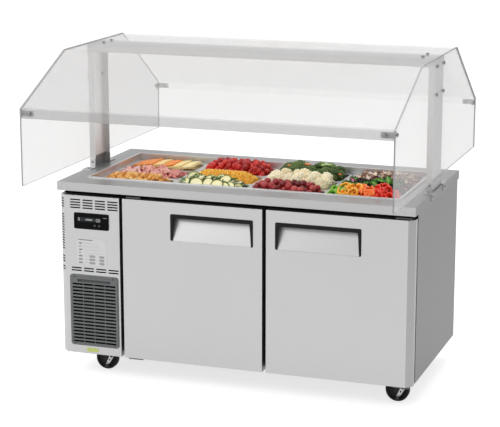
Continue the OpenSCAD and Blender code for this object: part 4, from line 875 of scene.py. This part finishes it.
crouton_mat = food_finish("toasted_bread", ["#AC6422", "#D08A38", "#EAB264", "#F9D898"], 0.75, grain_mm=3.0,
                          bump=0.9, mottle=0.38)
serve(make_croutons(PANS["front", 1]), PANS["front", 1], crouton_mat)

# %% [markdown]
# ### Cherry tomatoes
# Glossy balls of 24 to 29 mm, a little longer than wide, in two layers.

# %% Cherry tomatoes
TOMATO_RADIUS = (0.0120, 0.0146)


def make_tomatoes(pan):
    """Balls drawn out by a tenth."""
    places = pan.layers(dict(across=10, along=5, edge=0.006, rise=0.014, inset=0.015),
                        dict(across=9, along=4, edge=0.020, rise=0.018, reach=0.80))
    count = len(places)
    size = pan.rng.uniform(*TOMATO_RADIUS, (count, 1)) * np.array([[1, 1, 1.10]])
    body = copies(ball(10, 16), turns(pan.rng, count), size, places, pan.rng.uniform(0, 1, count))
    # The bed under the tomatoes takes the darkest red: painted shade for the gaps between them.
    return joined("cherry_tomatoes", [body, pan.bed(-0.010, 0.012, tint=-0.6)])


tomato_mat = food_finish("tomato_skin", ["#960E08", "#BA1810", "#CC2618", "#D83A26"], 0.34, grain_mm=12,
                         bump=0.04, inner=2, coat=0.08, mottle=0.16)
serve(make_tomatoes(PANS["rear", 2]), PANS["rear", 2], tomato_mat)

# %% [markdown]
# ### Sweetcorn
# Kernels are squared teardrops 10 to 12.5 mm long. More than a thousand lie in the heap,
# each with few faces.

# %% Sweetcorn
KERNEL_RADIUS = (0.0040, 0.0050)


def make_corn(pan):
    """A squared ball, narrower below: width times 0.78 + 0.22 z."""
    points, quads, tris = ball(5, 8, power=0.75)
    points = points * np.array([1, 0.8, 1.25])
    points[:, :2] *= 0.78 + 0.22 * points[:, 2:]
    places = pan.layers(dict(across=38, along=20, edge=0.005, rise=0.020),
                        dict(across=28, along=14, edge=0.009, rise=0.022, reach=0.88))
    count = len(places)
    size = pan.rng.uniform(*KERNEL_RADIUS, count)
    body = copies((points, quads, tris), turns(pan.rng, count), size, places, pan.rng.uniform(0, 1, count))
    return joined("sweetcorn", [body, pan.bed(0.002, 0.019, lumps=0.001, tint=0.1)])


corn_mat = food_finish("sweetcorn_skin", ["#FFB42C", "#FFC440", "#FFD668"], 0.35, grain_mm=5, bump=0.1,
                       inner=2, coat=0.1)
serve(make_corn(PANS["middle", 2]), PANS["middle", 2], corn_mat)

# %% [markdown]
# ### Courgette slices with dill
# Round slices 44 to 58 mm across: a cream seed ring in pale flesh with a thin dark green
# rind. The tint of a point follows its distance from the slice's middle. They lean
# towards the front, as if laid by hand. Dill lies behind and at the left, each sprig a
# stem with rows of hair-thin leaves.

# %% Courgette slices
SLICE_RADIUS = (0.0220, 0.0290)
LAID_LEAN = 0.55


def make_courgette(pan):
    """Tint = radius ** 4, so that the green stays in the outermost ring."""
    verts, quads, _ = slab(disc_grid(15, 15), 0.15)
    radius = np.clip(np.hypot(verts[:, 0], verts[:, 1]), 0, 1)
    places = pan.layers(dict(across=7, along=3, edge=0.004, rise=0.014, reach=0.84, inset=0.021),
                        dict(across=5, along=3, edge=0.014, rise=0.018, reach=0.70, jitter=0.5))
    count = len(places)
    size = pan.rng.uniform(*SLICE_RADIUS, count)
    slices = tinted_copies(pan.rng, (verts, quads, None), radius ** 4, leant(pan.rng, count, LAID_LEAN, 0.30),
                           size, places, (-0.05, 0.12))
    return joined("courgette_slices", [slices, pan.bed(-0.008, 0.010, tint=1.2)])


courgette_mat = food_finish("courgette_flesh", ["#F6F1C8", "#F3ECB8", "#E6E098", "#55702C", "#1E3216"], 0.40,
                            grain_mm=4, bump=0.15, inner=2, coat=0.08, mottle=0.08)
serve(make_courgette(PANS["front", 2]), PANS["front", 2], courgette_mat)

# %% Dill
DILL_LEAVES = 26
DILL_ANGLE = np.radians(48)
STEM_LENGTH = 0.052
LEAF_LENGTH = 0.0100
LEAF_RADIUS = 0.0009
STEM_RADIUS = 0.0010


def make_dill(pan):
    """Leaves stand off a bent stem left and right in turn; their length follows a sine along it."""
    parts = []
    hair = ball(4, 5)
    places = pan.layers(dict(across=9, along=3, edge=0.016, rise=0.014, reach=0.86),
                        dict(across=6, along=2, edge=0.020, rise=0.014, reach=0.6))
    behind = (places[:, 1] > pan.middle[1]) | (places[:, 0] < pan.middle[0] - 0.075)
    s = np.linspace(0, 1, DILL_LEAVES)
    angle = np.where(np.arange(DILL_LEAVES) % 2, 1.0, -1.0) * DILL_ANGLE
    length = LEAF_LENGTH * np.sin(np.pi * (0.15 + 0.8 * s))
    radius = np.full(DILL_LEAVES, LEAF_RADIUS)
    from_stem = np.stack([np.cos(angle) * length, np.sin(angle) * length, 0.002 * np.sin(9 * s)], -1)
    for place in places[behind]:
        bend = pan.rng.uniform(-1, 1)
        stem = np.stack([(s - 0.5) * STEM_LENGTH, bend * 0.012 * s ** 2, 0.004 * np.sin(3 * s)], -1)
        leaf = copies(hair, turn_about(Z, angle), np.stack([length, radius, radius], -1), stem + from_stem,
                      np.full(DILL_LEAVES, 0.5))
        stalk = copies(hair, np.eye(3)[None], np.array([[STEM_LENGTH / 2, STEM_RADIUS, STEM_RADIUS]]),
                       np.zeros((1, 3)), np.zeros(1))
        spin = turns(pan.rng, 1, 0.5)[0]
        for points, quads, tris, tint in (leaf, stalk):
            parts.append((points @ spin.T + place, quads, tris, tint))
    return joined("dill_sprigs", parts)


dill_mat = food_finish("dill_green", ["#2C521A", "#44762A", "#64923C"], 0.6, grain_mm=2, bump=0.1)
serve(make_dill(PANS["front", 2]), PANS["front", 2], dill_mat)

# %% [markdown]
# ### Broccoli and cauliflower
# A floret is a dome of round knobs on a stalk. Sixty or seventy directions are spread
# evenly over a ball by the golden angle, and the radius swells near each of them, which
# gives knobs of one size packed closely; the stalk is a squared ball drawn out.

# %% Florets
GOLDEN_ANGLE = math.pi * (3 - math.sqrt(5))
DOME_SQUASH = 0.78


def knob_directions(count):
    """Direction k has height 1 - (2k + 1)/count and is turned by k golden angles."""
    k = np.arange(count)
    height = 1 - (2 * k + 1) / count
    flat = np.sqrt(1 - height ** 2)
    return np.stack([flat * np.cos(GOLDEN_ANGLE * k), flat * np.sin(GOLDEN_ANGLE * k), height], -1)


def floret(knobs, depth):
    """Radius = 1 - depth + 2 depth exp(-(angle to the nearest knob / spacing)^2), times a slow swell."""
    points, quads, tris = ball(28, 42)
    spacing = math.sqrt(4 * math.pi / knobs) * 0.42
    angle = np.arccos(np.clip(points @ knob_directions(knobs).T, -1, 1)).min(axis=1)
    near = np.exp(-(angle / spacing) ** 2)
    swell = 1 + 0.08 * np.sin(3 * points[:, 0] + 2 * points[:, 1]) * np.cos(3 * points[:, 2])
    dome = points * ((1 - depth + 2 * depth * near) * swell)[:, None] * [1, 1, DOME_SQUASH]
    dome[:, 2] = np.where(dome[:, 2] < 0, dome[:, 2] * 0.5, dome[:, 2])
    stalk, stalk_quads, stalk_tris = ball(6, 10, power=0.7)
    stalk = stalk * [0.34, 0.34, 0.75] - [0, 0, 0.85]
    quads = np.vstack([quads, stalk_quads + len(points)])
    tris = np.vstack([tris, stalk_tris + len(points)])
    # The tint rises with near, so the gaps between knobs take the dark end of the colours: painted shade in
    # the creases.
    return (np.vstack([dome, stalk]), quads, tris), np.concatenate([0.12 + 0.70 * near, np.ones(len(stalk))])


def make_florets(pan, name, knobs, depth, size, across, along, bed_tint):
    """Two layers, the upper one item smaller each way."""
    template, tint = floret(knobs, depth)
    places = pan.layers(dict(across=across, along=along, edge=0.008, rise=0.014, inset=0.023),
                        dict(across=across - 1, along=along - 1, edge=0.020, rise=0.016, inset=0.030))
    count = len(places)
    turn = turns(pan.rng, count, 0.9)
    size = pan.rng.uniform(*size, count)
    florets = tinted_copies(pan.rng, template, tint, turn, size, places, (-0.12, 0.12))
    return joined(name, [florets, pan.bed(-0.010, 0.012, tint=bed_tint)])


broccoli_mat = food_finish("broccoli_buds", ["#1A2A12", "#34491F", "#4E6630", "#748A4A", "#9CAE68"], 0.7,
                           grain_mm=6.5, bump=1.0, mottle=0.55)
cauliflower_mat = food_finish("cauliflower_curd", ["#CDB57C", "#EDDCAE", "#FAEECB", "#FDF4DA", "#E2E6B4"],
                              0.6, grain_mm=2.0, bump=0.6, inner=2, mottle=0.14)
broccoli_pan, cauliflower_pan = PANS["rear", 3], PANS["middle", 3]
serve(make_florets(broccoli_pan, "broccoli_florets", 70, 0.16, (0.019, 0.027), 7, 4, 0.2),
      broccoli_pan, broccoli_mat)

# %% [markdown]
# Carrot sticks and a few cut stalks lie on top of the broccoli.

# %% Sticks, then the cauliflower
CARROT_SPOTS = [(-0.62, -0.45), (-0.1, -0.15), (0.9, -0.55), (-0.02, -0.2)]
STALK_SPOTS = [(0.45, 0.0), (0.2, 0.55)]


def make_sticks(pan, name, spots, length, thick):
    """Squared sticks at spots given as (u, v) in the pan, lying on top of the heap."""
    places = pan.on_heap(*np.array(spots).T, 0.034)
    count = len(places)
    size = np.tile([length, thick, thick * 0.8], (count, 1))
    return joined(name, [copies(ball(5, 8, power=0.4), turns(pan.rng, count, 0.35), size, places,
                                pan.rng.uniform(0, 1, count))])


carrot_mat = food_finish("carrot", ["#F0783A", "#FA9658"], 0.35, grain_mm=5, bump=0.1, inner=2, coat=0.2)
stalk_mat = food_finish("broccoli_stalk", ["#9CBE66", "#B8D488"], 0.45, grain_mm=4, bump=0.1, inner=2)
serve(make_sticks(broccoli_pan, "carrot_sticks", CARROT_SPOTS, 0.016, 0.0048), broccoli_pan, carrot_mat)
serve(make_sticks(broccoli_pan, "broccoli_stalks", STALK_SPOTS, 0.026, 0.0055), broccoli_pan, stalk_mat)
serve(make_florets(cauliflower_pan, "cauliflower_florets", 60, 0.12, (0.020, 0.029), 7, 3, 0.4),
      cauliflower_pan, cauliflower_mat)

# %% [markdown]
# ### Beetroots
# Small cooked beetroots, 27 to 33 mm across: dark red balls with a dull sheen, two layers
# deep, each a little flattened and with paler streaks.

# %% Beetroots
BEETROOT_RADIUS = (0.0135, 0.0165)


def make_beetroots(pan):
    """Balls flattened to 0.92 of their width."""
    places = pan.layers(dict(across=9, along=4, edge=0.006, rise=0.012, inset=0.016, jitter=0.45),
                        dict(across=8, along=3, edge=0.021, rise=0.020, reach=0.80, jitter=0.5))
    count = len(places)
    size = pan.rng.uniform(*BEETROOT_RADIUS, (count, 1)) * np.array([[1, 1, 0.92]])
    body = copies(ball(12, 18), turns(pan.rng, count), size, places, pan.rng.uniform(0, 1, count))
    # The bed under the beetroots takes the darkest red: painted shade for the gaps between them.
    return joined("beetroots", [body, pan.bed(-0.010, 0.012, tint=-0.4)])


beetroot_mat = food_finish("beetroot_skin", ["#5E1014", "#8C1E22", "#A42C2E", "#BC4A4A"], 0.42, grain_mm=9,
                           bump=0.1, inner=2, coat=0.05, mottle=0.25)
serve(make_beetroots(PANS["front", 3]), PANS["front", 3], beetroot_mat)

# %% [markdown]
# ### Mushroom slices
# A slice shows the mushroom's outline: a round cap over a short stem, 2 to 3 mm thick. The
# outline is one closed loop, wide at the cap and narrow at the stem, filled by shrinking
# it to its middle.

# %% Mushroom slices
MUSHROOM_RADIUS = (0.0100, 0.0150)
SLICE_HALF_THICK = 0.11
SLICE_MIDDLE_Y = -0.1
LOOP_SIZES = (1.0, 0.86, 0.45)
LOOP_TINTS = (1.0, 0.25, 0.1)


def mushroom_slice():
    """Outline: half circle for the cap, a short stem below; loops of it shrink to the middle."""
    around = np.linspace(0, 2 * np.pi, 36, endpoint=False)
    x = np.cos(around)
    y = np.where(np.sin(around) > 0, 0.85 * np.sin(around), 0.28 * np.sin(around))
    stem = (np.abs(x) < 0.42) & (np.sin(around) < 0)
    y = np.where(stem, -0.95 - 0.06 * np.cos(x * 4), y) - SLICE_MIDDLE_Y
    x = np.where(stem, x * 0.8, x)
    heights = [SLICE_HALF_THICK * (1 if size < 1 else 0.6) for size in LOOP_SIZES]
    loops = [np.stack([x * size, y * size + SLICE_MIDDLE_Y, np.full_like(x, height)], -1)
             for size, height in zip(LOOP_SIZES, heights)]
    top = np.vstack(loops)
    n, size = len(around), len(top)
    quads = grid_faces(len(LOOP_SIZES), n, True)
    rim = np.arange(n)
    after = (rim + 1) % n
    wall = np.stack([rim, rim + size, after + size, after], -1)
    middle = [0, SLICE_MIDDLE_Y, SLICE_HALF_THICK]
    verts = np.vstack([top, top * [1, 1, -1], [middle, np.multiply(middle, [1, 1, -1])]])
    last, next_last = size - n + rim, size - n + after
    tris = np.vstack([np.stack([last, next_last, np.full(n, 2 * size)], -1),
                      np.stack([next_last + size, last + size, np.full(n, 2 * size + 1)], -1)])
    tint = np.concatenate([np.tile(np.repeat(LOOP_TINTS, n), 2), [LOOP_TINTS[-1]] * 2])
    return (verts, np.vstack([quads, quads[:, ::-1] + size, wall]), tris), tint


def make_mushrooms(pan):
    """Two layers of slices, each tilted by up to 1.2 radians."""
    template, tint = mushroom_slice()
    places = pan.layers(dict(across=14, along=8, edge=0.004, rise=0.014, jitter=0.5, inset=0.013),
                        dict(across=12, along=6, edge=0.014, rise=0.016, reach=0.85, jitter=0.5))
    count = len(places)
    size = pan.rng.uniform(*MUSHROOM_RADIUS, count)
    slices = tinted_copies(pan.rng, template, tint, turns(pan.rng, count, 1.2), size, places, (-0.05, 0.35))
    return joined("mushroom_slices", [slices, pan.bed(-0.008, 0.011, tint=1.2)])


mushroom_mat = food_finish("mushroom_flesh", ["#F8EFE4", "#E2CDB8", "#A87656", "#643E2C"], 0.55, grain_mm=5,
                           bump=0.2, inner=2, mottle=0.14)
serve(make_mushrooms(PANS["rear", 4]), PANS["rear", 4], mushroom_mat)

# %% [markdown]
# ### Mixed leaves
# A leaf is a cupped sheet with a frilled edge: its width follows a sine along its
# length, and its edge waves more the further it is from the midrib. Three kinds share
# the pan: dark red, radicchio with pale ribs, and green.

# %% Leaf shapes
def leaf_sheet(rng, frill):
    """Width sin(pi s)^0.6, cup v^2, frill grows with |v| cubed."""
    s, v = np.meshgrid(np.linspace(0.02, 0.98, 18), np.linspace(-1, 1, 11), indexing="ij")
    width = 0.55 * np.sin(np.pi * s) ** 0.6
    edge = np.abs(v) ** 3
    z = 0.28 * v ** 2 + 0.35 * np.sin(2.4 * s) + frill * edge * np.sin(s * 26 + rng.uniform(0, 6))
    return np.stack([(s - 0.5) * 2, v * width, z - 0.2], -1), np.abs(v)


def make_leaves(pan, name, places, size, frill):
    """Each leaf is worked out afresh; its tint goes from 0 at the midrib to 0.8 at the edge."""
    parts = []
    for place in places:
        sheet, rib = leaf_sheet(pan.rng, frill)
        verts, quads, _ = slab(sheet, 0.03)
        tint = np.tile(rib.reshape(-1), 2)
        spin = turns(pan.rng, 1, 1.1)
        points = copies((verts, quads, None), spin, pan.rng.uniform(*size, 1), place[None], np.zeros(1))[0]
        parts.append((points, quads, None, tint * 0.8 + pan.rng.uniform(0, 0.2)))
    return joined(name, parts)


print("points in a leaf:", leaf_sheet(np.random.default_rng(1), 0.1)[1].size)

# %% Mixed leaves
LEAF_LIFT = 0.020
radicchio_mat = food_finish("radicchio", ["#F2DCE2", "#C04A78", "#8A204C", "#560E28"], 0.4, grain_mm=4,
                            bump=0.2, coat=0.2)
dark_leaf_mat = food_finish("dark_red_leaf", ["#3A2C22", "#241616", "#1A0E10", "#22180F"], 0.5, grain_mm=5)
green_leaf_mat = food_finish("green_leaf", ["#A6D062", "#62A236", "#468424", "#2E5E1C"], 0.45, grain_mm=5)
leaf_pan = PANS["middle", 4]
dark_places = leaf_pan.scatter(9, 4, 0.008, 0.016, jitter=0.4, inset=0.022)
GREEN_SPOTS = [(-0.92, -0.6), (-0.86, 0.0), (-0.72, 0.55), (-0.2, -0.75), (0.05, -0.6), (0.12, -0.2),
               (0.38, 0.0), (0.62, -0.55), (0.7, 0.3), (-0.5, -0.85)]
RADICCHIO_SPOTS = [(-0.66, -0.05), (0.0, 0.3), (0.35, -0.7), (0.82, -0.3), (0.9, 0.35)]
green_places = leaf_pan.on_heap(*np.array(GREEN_SPOTS).T, LEAF_LIFT)
radicchio_places = leaf_pan.on_heap(*np.array(RADICCHIO_SPOTS).T, LEAF_LIFT)
for name, places, size, frill, mat in (
        ("dark_leaves", dark_places, (0.022, 0.032), 0.12, dark_leaf_mat),
        ("radicchio_leaves", radicchio_places, (0.018, 0.025), 0.08, radicchio_mat),
        ("green_leaves", green_places, (0.021, 0.030), 0.14, green_leaf_mat)):
    serve(make_leaves(leaf_pan, name, places, size, frill), leaf_pan, mat)
serve(joined("leaf_bed", [leaf_pan.bed(-0.008, 0.012, tint=0.7)]), leaf_pan, dark_leaf_mat)

# %% [markdown]
# ### Pepper strips
# Rings and strips of sweet pepper, cut across the fruit, so each is a glossy curl that
# goes most of the way round a circle. They lie in bands of green, yellow, orange and
# red, so the tint follows the place along the pan.

# %% Pepper strips
STRIP_GRID = (20, 8)
PEPPER_BANDS = (0.22, 0.42, 0.64)
PEPPER_LAYERS = (
    (2.5, (0.016, 0.023), dict(across=9, along=4, edge=0.004)),
    (1.3, (0.020, 0.029), dict(across=9, along=4, edge=0.012)),
    (2.4, (0.016, 0.024), dict(across=8, along=3, edge=0.021)),
)


def pepper_strip(half_turn):
    """A flat rounded bar carried along an arc of two half_turns, closed with a point at each end."""
    along, around = STRIP_GRID
    t = np.linspace(-half_turn, half_turn, along)
    a = np.linspace(0, 2 * np.pi, around, endpoint=False)
    end = np.sqrt(np.clip(1 - (t / half_turn * 0.98) ** 8, 0.05, 1))
    wall = (0.17 * np.sign(np.cos(a)) * np.abs(np.cos(a)) ** 0.7)[None] * end[:, None]
    tall = (0.42 * np.sign(np.sin(a)) * np.abs(np.sin(a)) ** 0.6)[None] * end[:, None]
    radius = (1 + 0.10 * np.sin(3 * t))[:, None] + wall
    points = np.stack([radius * np.sin(t)[:, None], radius * np.cos(t)[:, None], tall], -1).reshape(-1, 3)
    n = len(points)
    verts = np.vstack([points, points[:around].mean(0), points[-around:].mean(0)])
    c = np.arange(around)
    after = (c + 1) % around
    low = np.stack([np.full(around, n), after, c], -1)
    high = np.stack([np.full(around, n + 1), n - around + c, n - around + after], -1)
    return verts, grid_faces(along, around, True), np.vstack([low, high])


def make_peppers(pan):
    """Curls lean to the front; a curl's band of colour is set by its share of the pan's length."""
    parts = []
    for half_turn, size, layer in PEPPER_LAYERS:
        places = pan.scatter(**layer, rise=0.015, jitter=0.5, inset=0.020)
        count = len(places)
        share = (places[:, 0] - pan.middle[0]) / pan.half[0] * 0.5 + 0.5
        band = np.digitize(share + pan.rng.normal(0, 0.035, count), PEPPER_BANDS) / len(PEPPER_BANDS)
        parts.append(copies(pepper_strip(half_turn), leant(pan.rng, count, LAID_LEAN, 0.35),
                            pan.rng.uniform(*size, count), places, band))
    parts.append(pan.bed(-0.004, 0.012, tint=0.6))
    return joined("pepper_strips", parts)


pepper_mat = food_finish("pepper_skin", ["#7CB83C", "#FFBA3A", "#FF8A44", "#EE3A26"], 0.30, grain_mm=9,
                         bump=0.04, inner=2, coat=0.12, mottle=0.05)
serve(make_peppers(PANS["front", 4]), PANS["front", 4], pepper_mat)

# %% [markdown]
# ## Marks on the machine front
# The display window glows with grey figures of seven bars each, and a small lamp is beside
# it. A thin whitish plate with ruled bars is stuck under it, four screws hold the grille,
# and a small yellow-green tag sits at its foot. They carry no words: the bars only stand
# for the lines of a table. Each is a closed sheet a few tenths of a millimetre thick,
# laid on its carrier.

# %% Thin sheets that face the front
STAND_OFF = 0.0001


def front_sheets(name, bars, face_y, thick, tints, corner=0.10):
    """Closed sheets STAND_OFF in front of a face; a bar is (x0, z0, x1, z1) with its corners drawn in."""
    u, v = np.meshgrid(np.linspace(-1, 1, 7), np.linspace(-1, 1, 7), indexing="ij")
    parts = []
    for (x0, z0, x1, z1), tint in zip(bars, tints):
        short = min(x1 - x0, z1 - z0) * corner
        x = (x0 + x1) / 2 + u * ((x1 - x0) / 2 - short * np.abs(v) ** 8)
        z = (z0 + z1) / 2 + v * ((z1 - z0) / 2 - short * np.abs(u) ** 8)
        y = np.full_like(x, face_y - STAND_OFF - thick / 2)
        parts.append((*slab(np.stack([x, y, z], -1), thick), tint))
    return joined(name, parts, smooth=False)


def printed(name, colours, rough):
    """A thin print or enamel: its tints pick a colour, with a faint cloud in it."""
    return food_finish(name, colours, rough, grain_mm=12, bump=0.02, mottle=0.03)


FRONT_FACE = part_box("machine_front")[0][1]
print("front face at y, m:", round(FRONT_FACE, 4))

# %% Display figures and lamp
LEFT, RIGHT, LOW, MIDDLE, HIGH = 0.0, 1.0, 0.0, 0.5, 1.0
SEGMENTS = {
    "a": ((LEFT, HIGH), (RIGHT, HIGH)), "b": ((RIGHT, MIDDLE), (RIGHT, HIGH)),
    "c": ((RIGHT, LOW), (RIGHT, MIDDLE)), "d": ((LEFT, LOW), (RIGHT, LOW)),
    "e": ((LEFT, LOW), (LEFT, MIDDLE)), "f": ((LEFT, MIDDLE), (LEFT, HIGH)),
    "g": ((LEFT, MIDDLE), (RIGHT, MIDDLE)),
}
FIGURES = {"0": "abcdef", "8": "abcdefg", "-": "g"}
SHOWN = (("8", -0.6590, 0.6655, 0.0060, 0.0115, 0.0017), ("-", -0.5850, 0.6660, 0.0030, 0.0100, 0.0014),
         ("0", -0.5780, 0.6645, 0.0055, 0.0115, 0.0017), ("8", -0.5690, 0.6645, 0.0055, 0.0115, 0.0017))
DIM_BAR = (-0.6270, 0.6680, -0.5960, 0.6740)
LAMP = (-0.5475, 0.6815, -0.5305, 0.6837)


def figure_bars(figure, x, z, wide, tall, stroke):
    """Bars for one figure whose lower left corner is at x, z."""
    half = stroke / 2
    return [(x + x0 * wide - half, z + z0 * tall - half, x + x1 * wide + half, z + z1 * tall + half)
            for (x0, z0), (x1, z1) in (SEGMENTS[key] for key in FIGURES[figure])]


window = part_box("control_display")
figures = [bar for row in SHOWN for bar in figure_bars(*row)]
digits = front_sheets("display_figures", figures + [DIM_BAR], window[0][1], 0.0002,
                      [0.9] * len(figures) + [0.55])
digits.data.materials.append(printed("lit_grey_figures", ["#6E7072", "#9A9C9E", "#C4C6C8"], 0.4))
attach(digits, "cabinet")

bezel_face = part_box("control_bezel")[0][1]
sign = front_sheets("indicator_lamp", [LAMP], bezel_face, 0.0003, [0.9])
sign.data.materials.append(printed("indicator_lens", ["#6E7072", "#9EA0A2"], 0.3))
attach(sign, "cabinet")
print("bars on the display:", len(figures) + 1)

# %% Instruction plate
PLATE = (-0.669, 0.481, -0.536, 0.592)
PLATE_THICK = 0.0004
PRINT_THICK = 0.0001
LIST_ROWS, LIST_PITCH, LIST_TOP = 4, 0.0135, 0.021
TABLE_ROWS, TABLE_PITCH, TABLE_FOOT = 3, 0.0140, 0.037
TABLE_BARS = ((0.008, -0.0045, 0.026, 0.0030, 0.35), (0.055, -0.0055, 0.082, 0.0045, 0.5),
              (0.100, -0.0060, 0.122, 0.0040, 0.45), (0.036, -0.0008, 0.050, 0.0006, 0.6))

plate_sheet = front_sheets("instruction_plate", [PLATE], FRONT_FACE, PLATE_THICK, [0.9], corner=0.03)
plate_sheet.data.materials.append(printed("printed_white_vinyl", ["#C4C4C4", "#D2D2D2", "#DADADA"], 0.55))
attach(plate_sheet, "cabinet")


def plate_rows():
    """A heading bar, ruled rows with a square each, and a table of three rows by four bars."""
    x0, z0, x1, z1 = PLATE
    bars, tints = [(x0 + 0.006, z1 - 0.0085, x0 + 0.072, z1 - 0.0050)], [0.1]
    for i in range(LIST_ROWS):
        z = z1 - LIST_TOP - i * LIST_PITCH
        bars += [(x0 + 0.010, z - 0.003, x0 + 0.024 - 0.006 * (i % 2), z + 0.003),
                 (x0 + 0.030, z - 0.0006, x1 - 0.040 + 0.009 * i, z + 0.0006)]
        tints += [0.25 + 0.2 * (i % 2), 0.75]
    for i in range(TABLE_ROWS):
        z = z0 + TABLE_FOOT - i * TABLE_PITCH
        bars += [(x0 + left, z + low, x0 + right, z + high) for left, low, right, high, _ in TABLE_BARS]
        tints += [tint for *_, tint in TABLE_BARS]
    return front_sheets("plate_rules", bars, FRONT_FACE - PLATE_THICK, PRINT_THICK, tints)


rules = plate_rows()
rules.data.materials.append(printed("grey_print", ["#5E5E5E", "#A4A4A4", "#C0C0C0"], 0.6))
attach(rules, "cabinet")
print("bars on the plate:", 1 + 2 * LIST_ROWS + len(TABLE_BARS) * TABLE_ROWS)

# %% Grille screws and tag
SCREW_RADIUS = 0.0026
SCREW_THICK = 0.0006
SCREW_SUNK = 0.0002
SCREW_INSET = (0.0215, 0.0085)
TAG = (-0.634, 0.109, -0.580, 0.126)


def grille_screws():
    """Four flat screw heads, each a round sheet, SCREW_INSET in from the corners of the grille."""
    low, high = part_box("intake_grille")
    disc = disc_grid(7, 7, SCREW_RADIUS)
    y = np.full_like(disc[..., 0], low[1] - SCREW_THICK / 2 + SCREW_SUNK)
    parts = []
    for x in (low[0] + SCREW_INSET[0], high[0] - SCREW_INSET[0]):
        for z in (low[2] + SCREW_INSET[1], high[2] - SCREW_INSET[1]):
            parts.append((*slab(np.stack([disc[..., 0] + x, y, disc[..., 1] + z], -1), SCREW_THICK), 0.3))
    return joined("grille_screws", parts, smooth=False)


screws = grille_screws()
screws.data.materials.append(printed("blackened_screw_steel", ["#101011", "#171718", "#1E1E1F"], 0.45))
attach(screws, "cabinet")
tag = front_sheets("blank_tag", [TAG], FRONT_FACE, 0.0004, [0.9])
tag.data.materials.append(printed("yellow_green_vinyl", ["#B4C06A", "#C8D27C"], 0.5))
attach(tag, "cabinet")
print("screw heads, points:", len(screws.data.vertices))

# %% [markdown]
# ## Floor, backdrop and light
# The floor and the world are pure white to the camera, as in a cut-out product picture,
# while the floor still takes the counter's shadow. Metal and clear sheet see the same
# white, a little darker towards the right, which gives the steel its soft modelling. A
# key softbox stands at the front left and a second hangs above.

# %% Floor
FLOOR_HALF = 40.0
FLOOR_GLOW = 0.72


def make_floor():
    """A square sheet: plain matte to the light, matte with a glow to the eye."""
    corners = [[-FLOOR_HALF, -FLOOR_HALF, 0], [FLOOR_HALF, -FLOOR_HALF, 0], [FLOOR_HALF, FLOOR_HALF, 0],
               [-FLOOR_HALF, FLOOR_HALF, 0]]
    floor = new_piece("studio_floor", corners, [[0, 1, 2, 3]], smooth=False)
    mat, tree, out, _ = start_material("white_paper_floor")
    matte = add(tree, "ShaderNodeBsdfDiffuse", Color=linear("#C0C0C0"))
    glow = add(tree, "ShaderNodeEmission", Color=linear("#FFFFFF"), Strength=FLOOR_GLOW)
    lit = add(tree, "ShaderNodeAddShader", {0: matte.outputs[0], 1: glow.outputs[0]})
    both = add(tree, "ShaderNodeMixShader", {
        0: ray_is(tree, "Camera", "Transmission", "Glossy"), 1: matte.outputs[0], 2: lit.outputs[0],
    })
    tree.links.new(both.outputs[0], out.inputs[0])
    floor.data.materials.append(mat)


make_floor()
print("floor, m across:", 2 * FLOOR_HALF)

# %% Backdrop and softboxes
ROOM_LIGHT = 0.84
ROOM_DARK = 0.62
ROOM_TURN = 0.15
SOFTBOXES = {
    "key_softbox": dict(place=(-3.2, -4.2, 4.0), target=(0, 0, 0.7), size=(3.0, 2.4), power=120),
    "top_softbox": dict(place=(0.4, 0.6, 4.6), target=(0, 0, 0.8), size=(3.5, 2.5), power=70),
}


def make_world():
    """White to the eye; to steel, ROOM_LIGHT up to ROOM_TURN of the way right, falling to ROOM_DARK."""
    world = bpy.data.worlds.new("studio_world")
    bpy.context.scene.world = world
    world.use_nodes = True
    tree = world.node_tree
    tree.nodes.clear()
    out = add(tree, "ShaderNodeOutputWorld")
    toward = axis_of(tree, add(tree, "ShaderNodeTexCoord").outputs["Generated"], X)
    level = add(tree, "ShaderNodeMapRange", {0: toward}, From_Min=ROOM_TURN, From_Max=1.0, To_Min=ROOM_LIGHT,
                To_Max=ROOM_DARK).outputs[0]
    room = add(tree, "ShaderNodeBackground", {"Strength": level}, Color=linear("#F5F5F5"))
    white = add(tree, "ShaderNodeBackground", Color=linear("#FFFFFF"), Strength=1.0)
    both = add(tree, "ShaderNodeMixShader", {
        0: ray_is(tree, "Camera", "Transmission"), 1: room.outputs[0], 2: white.outputs[0],
    })
    tree.links.new(both.outputs[0], out.inputs[0])


def make_softbox(name, place, target, size, power):
    """A rectangular lamp at a place, turned so that its -Z axis points to the target."""
    lamp = bpy.data.lights.new(name, "AREA")
    lamp.shape = "RECTANGLE"
    lamp.size, lamp.size_y = size
    lamp.energy = power
    box = bpy.data.objects.new(name, lamp)
    box.location = place
    aim = np.array(target, float) - np.array(place, float)
    flat = math.hypot(aim[0], aim[1])
    box.rotation_euler = (math.atan2(flat, -aim[2]), 0, math.atan2(-aim[0], aim[1]))
    bpy.context.scene.collection.objects.link(box)


make_world()
for name, setting in SOFTBOXES.items():
    make_softbox(name, **setting)
bpy.context.scene.view_settings.view_transform = "Standard"
print("softboxes:", len(SOFTBOXES))
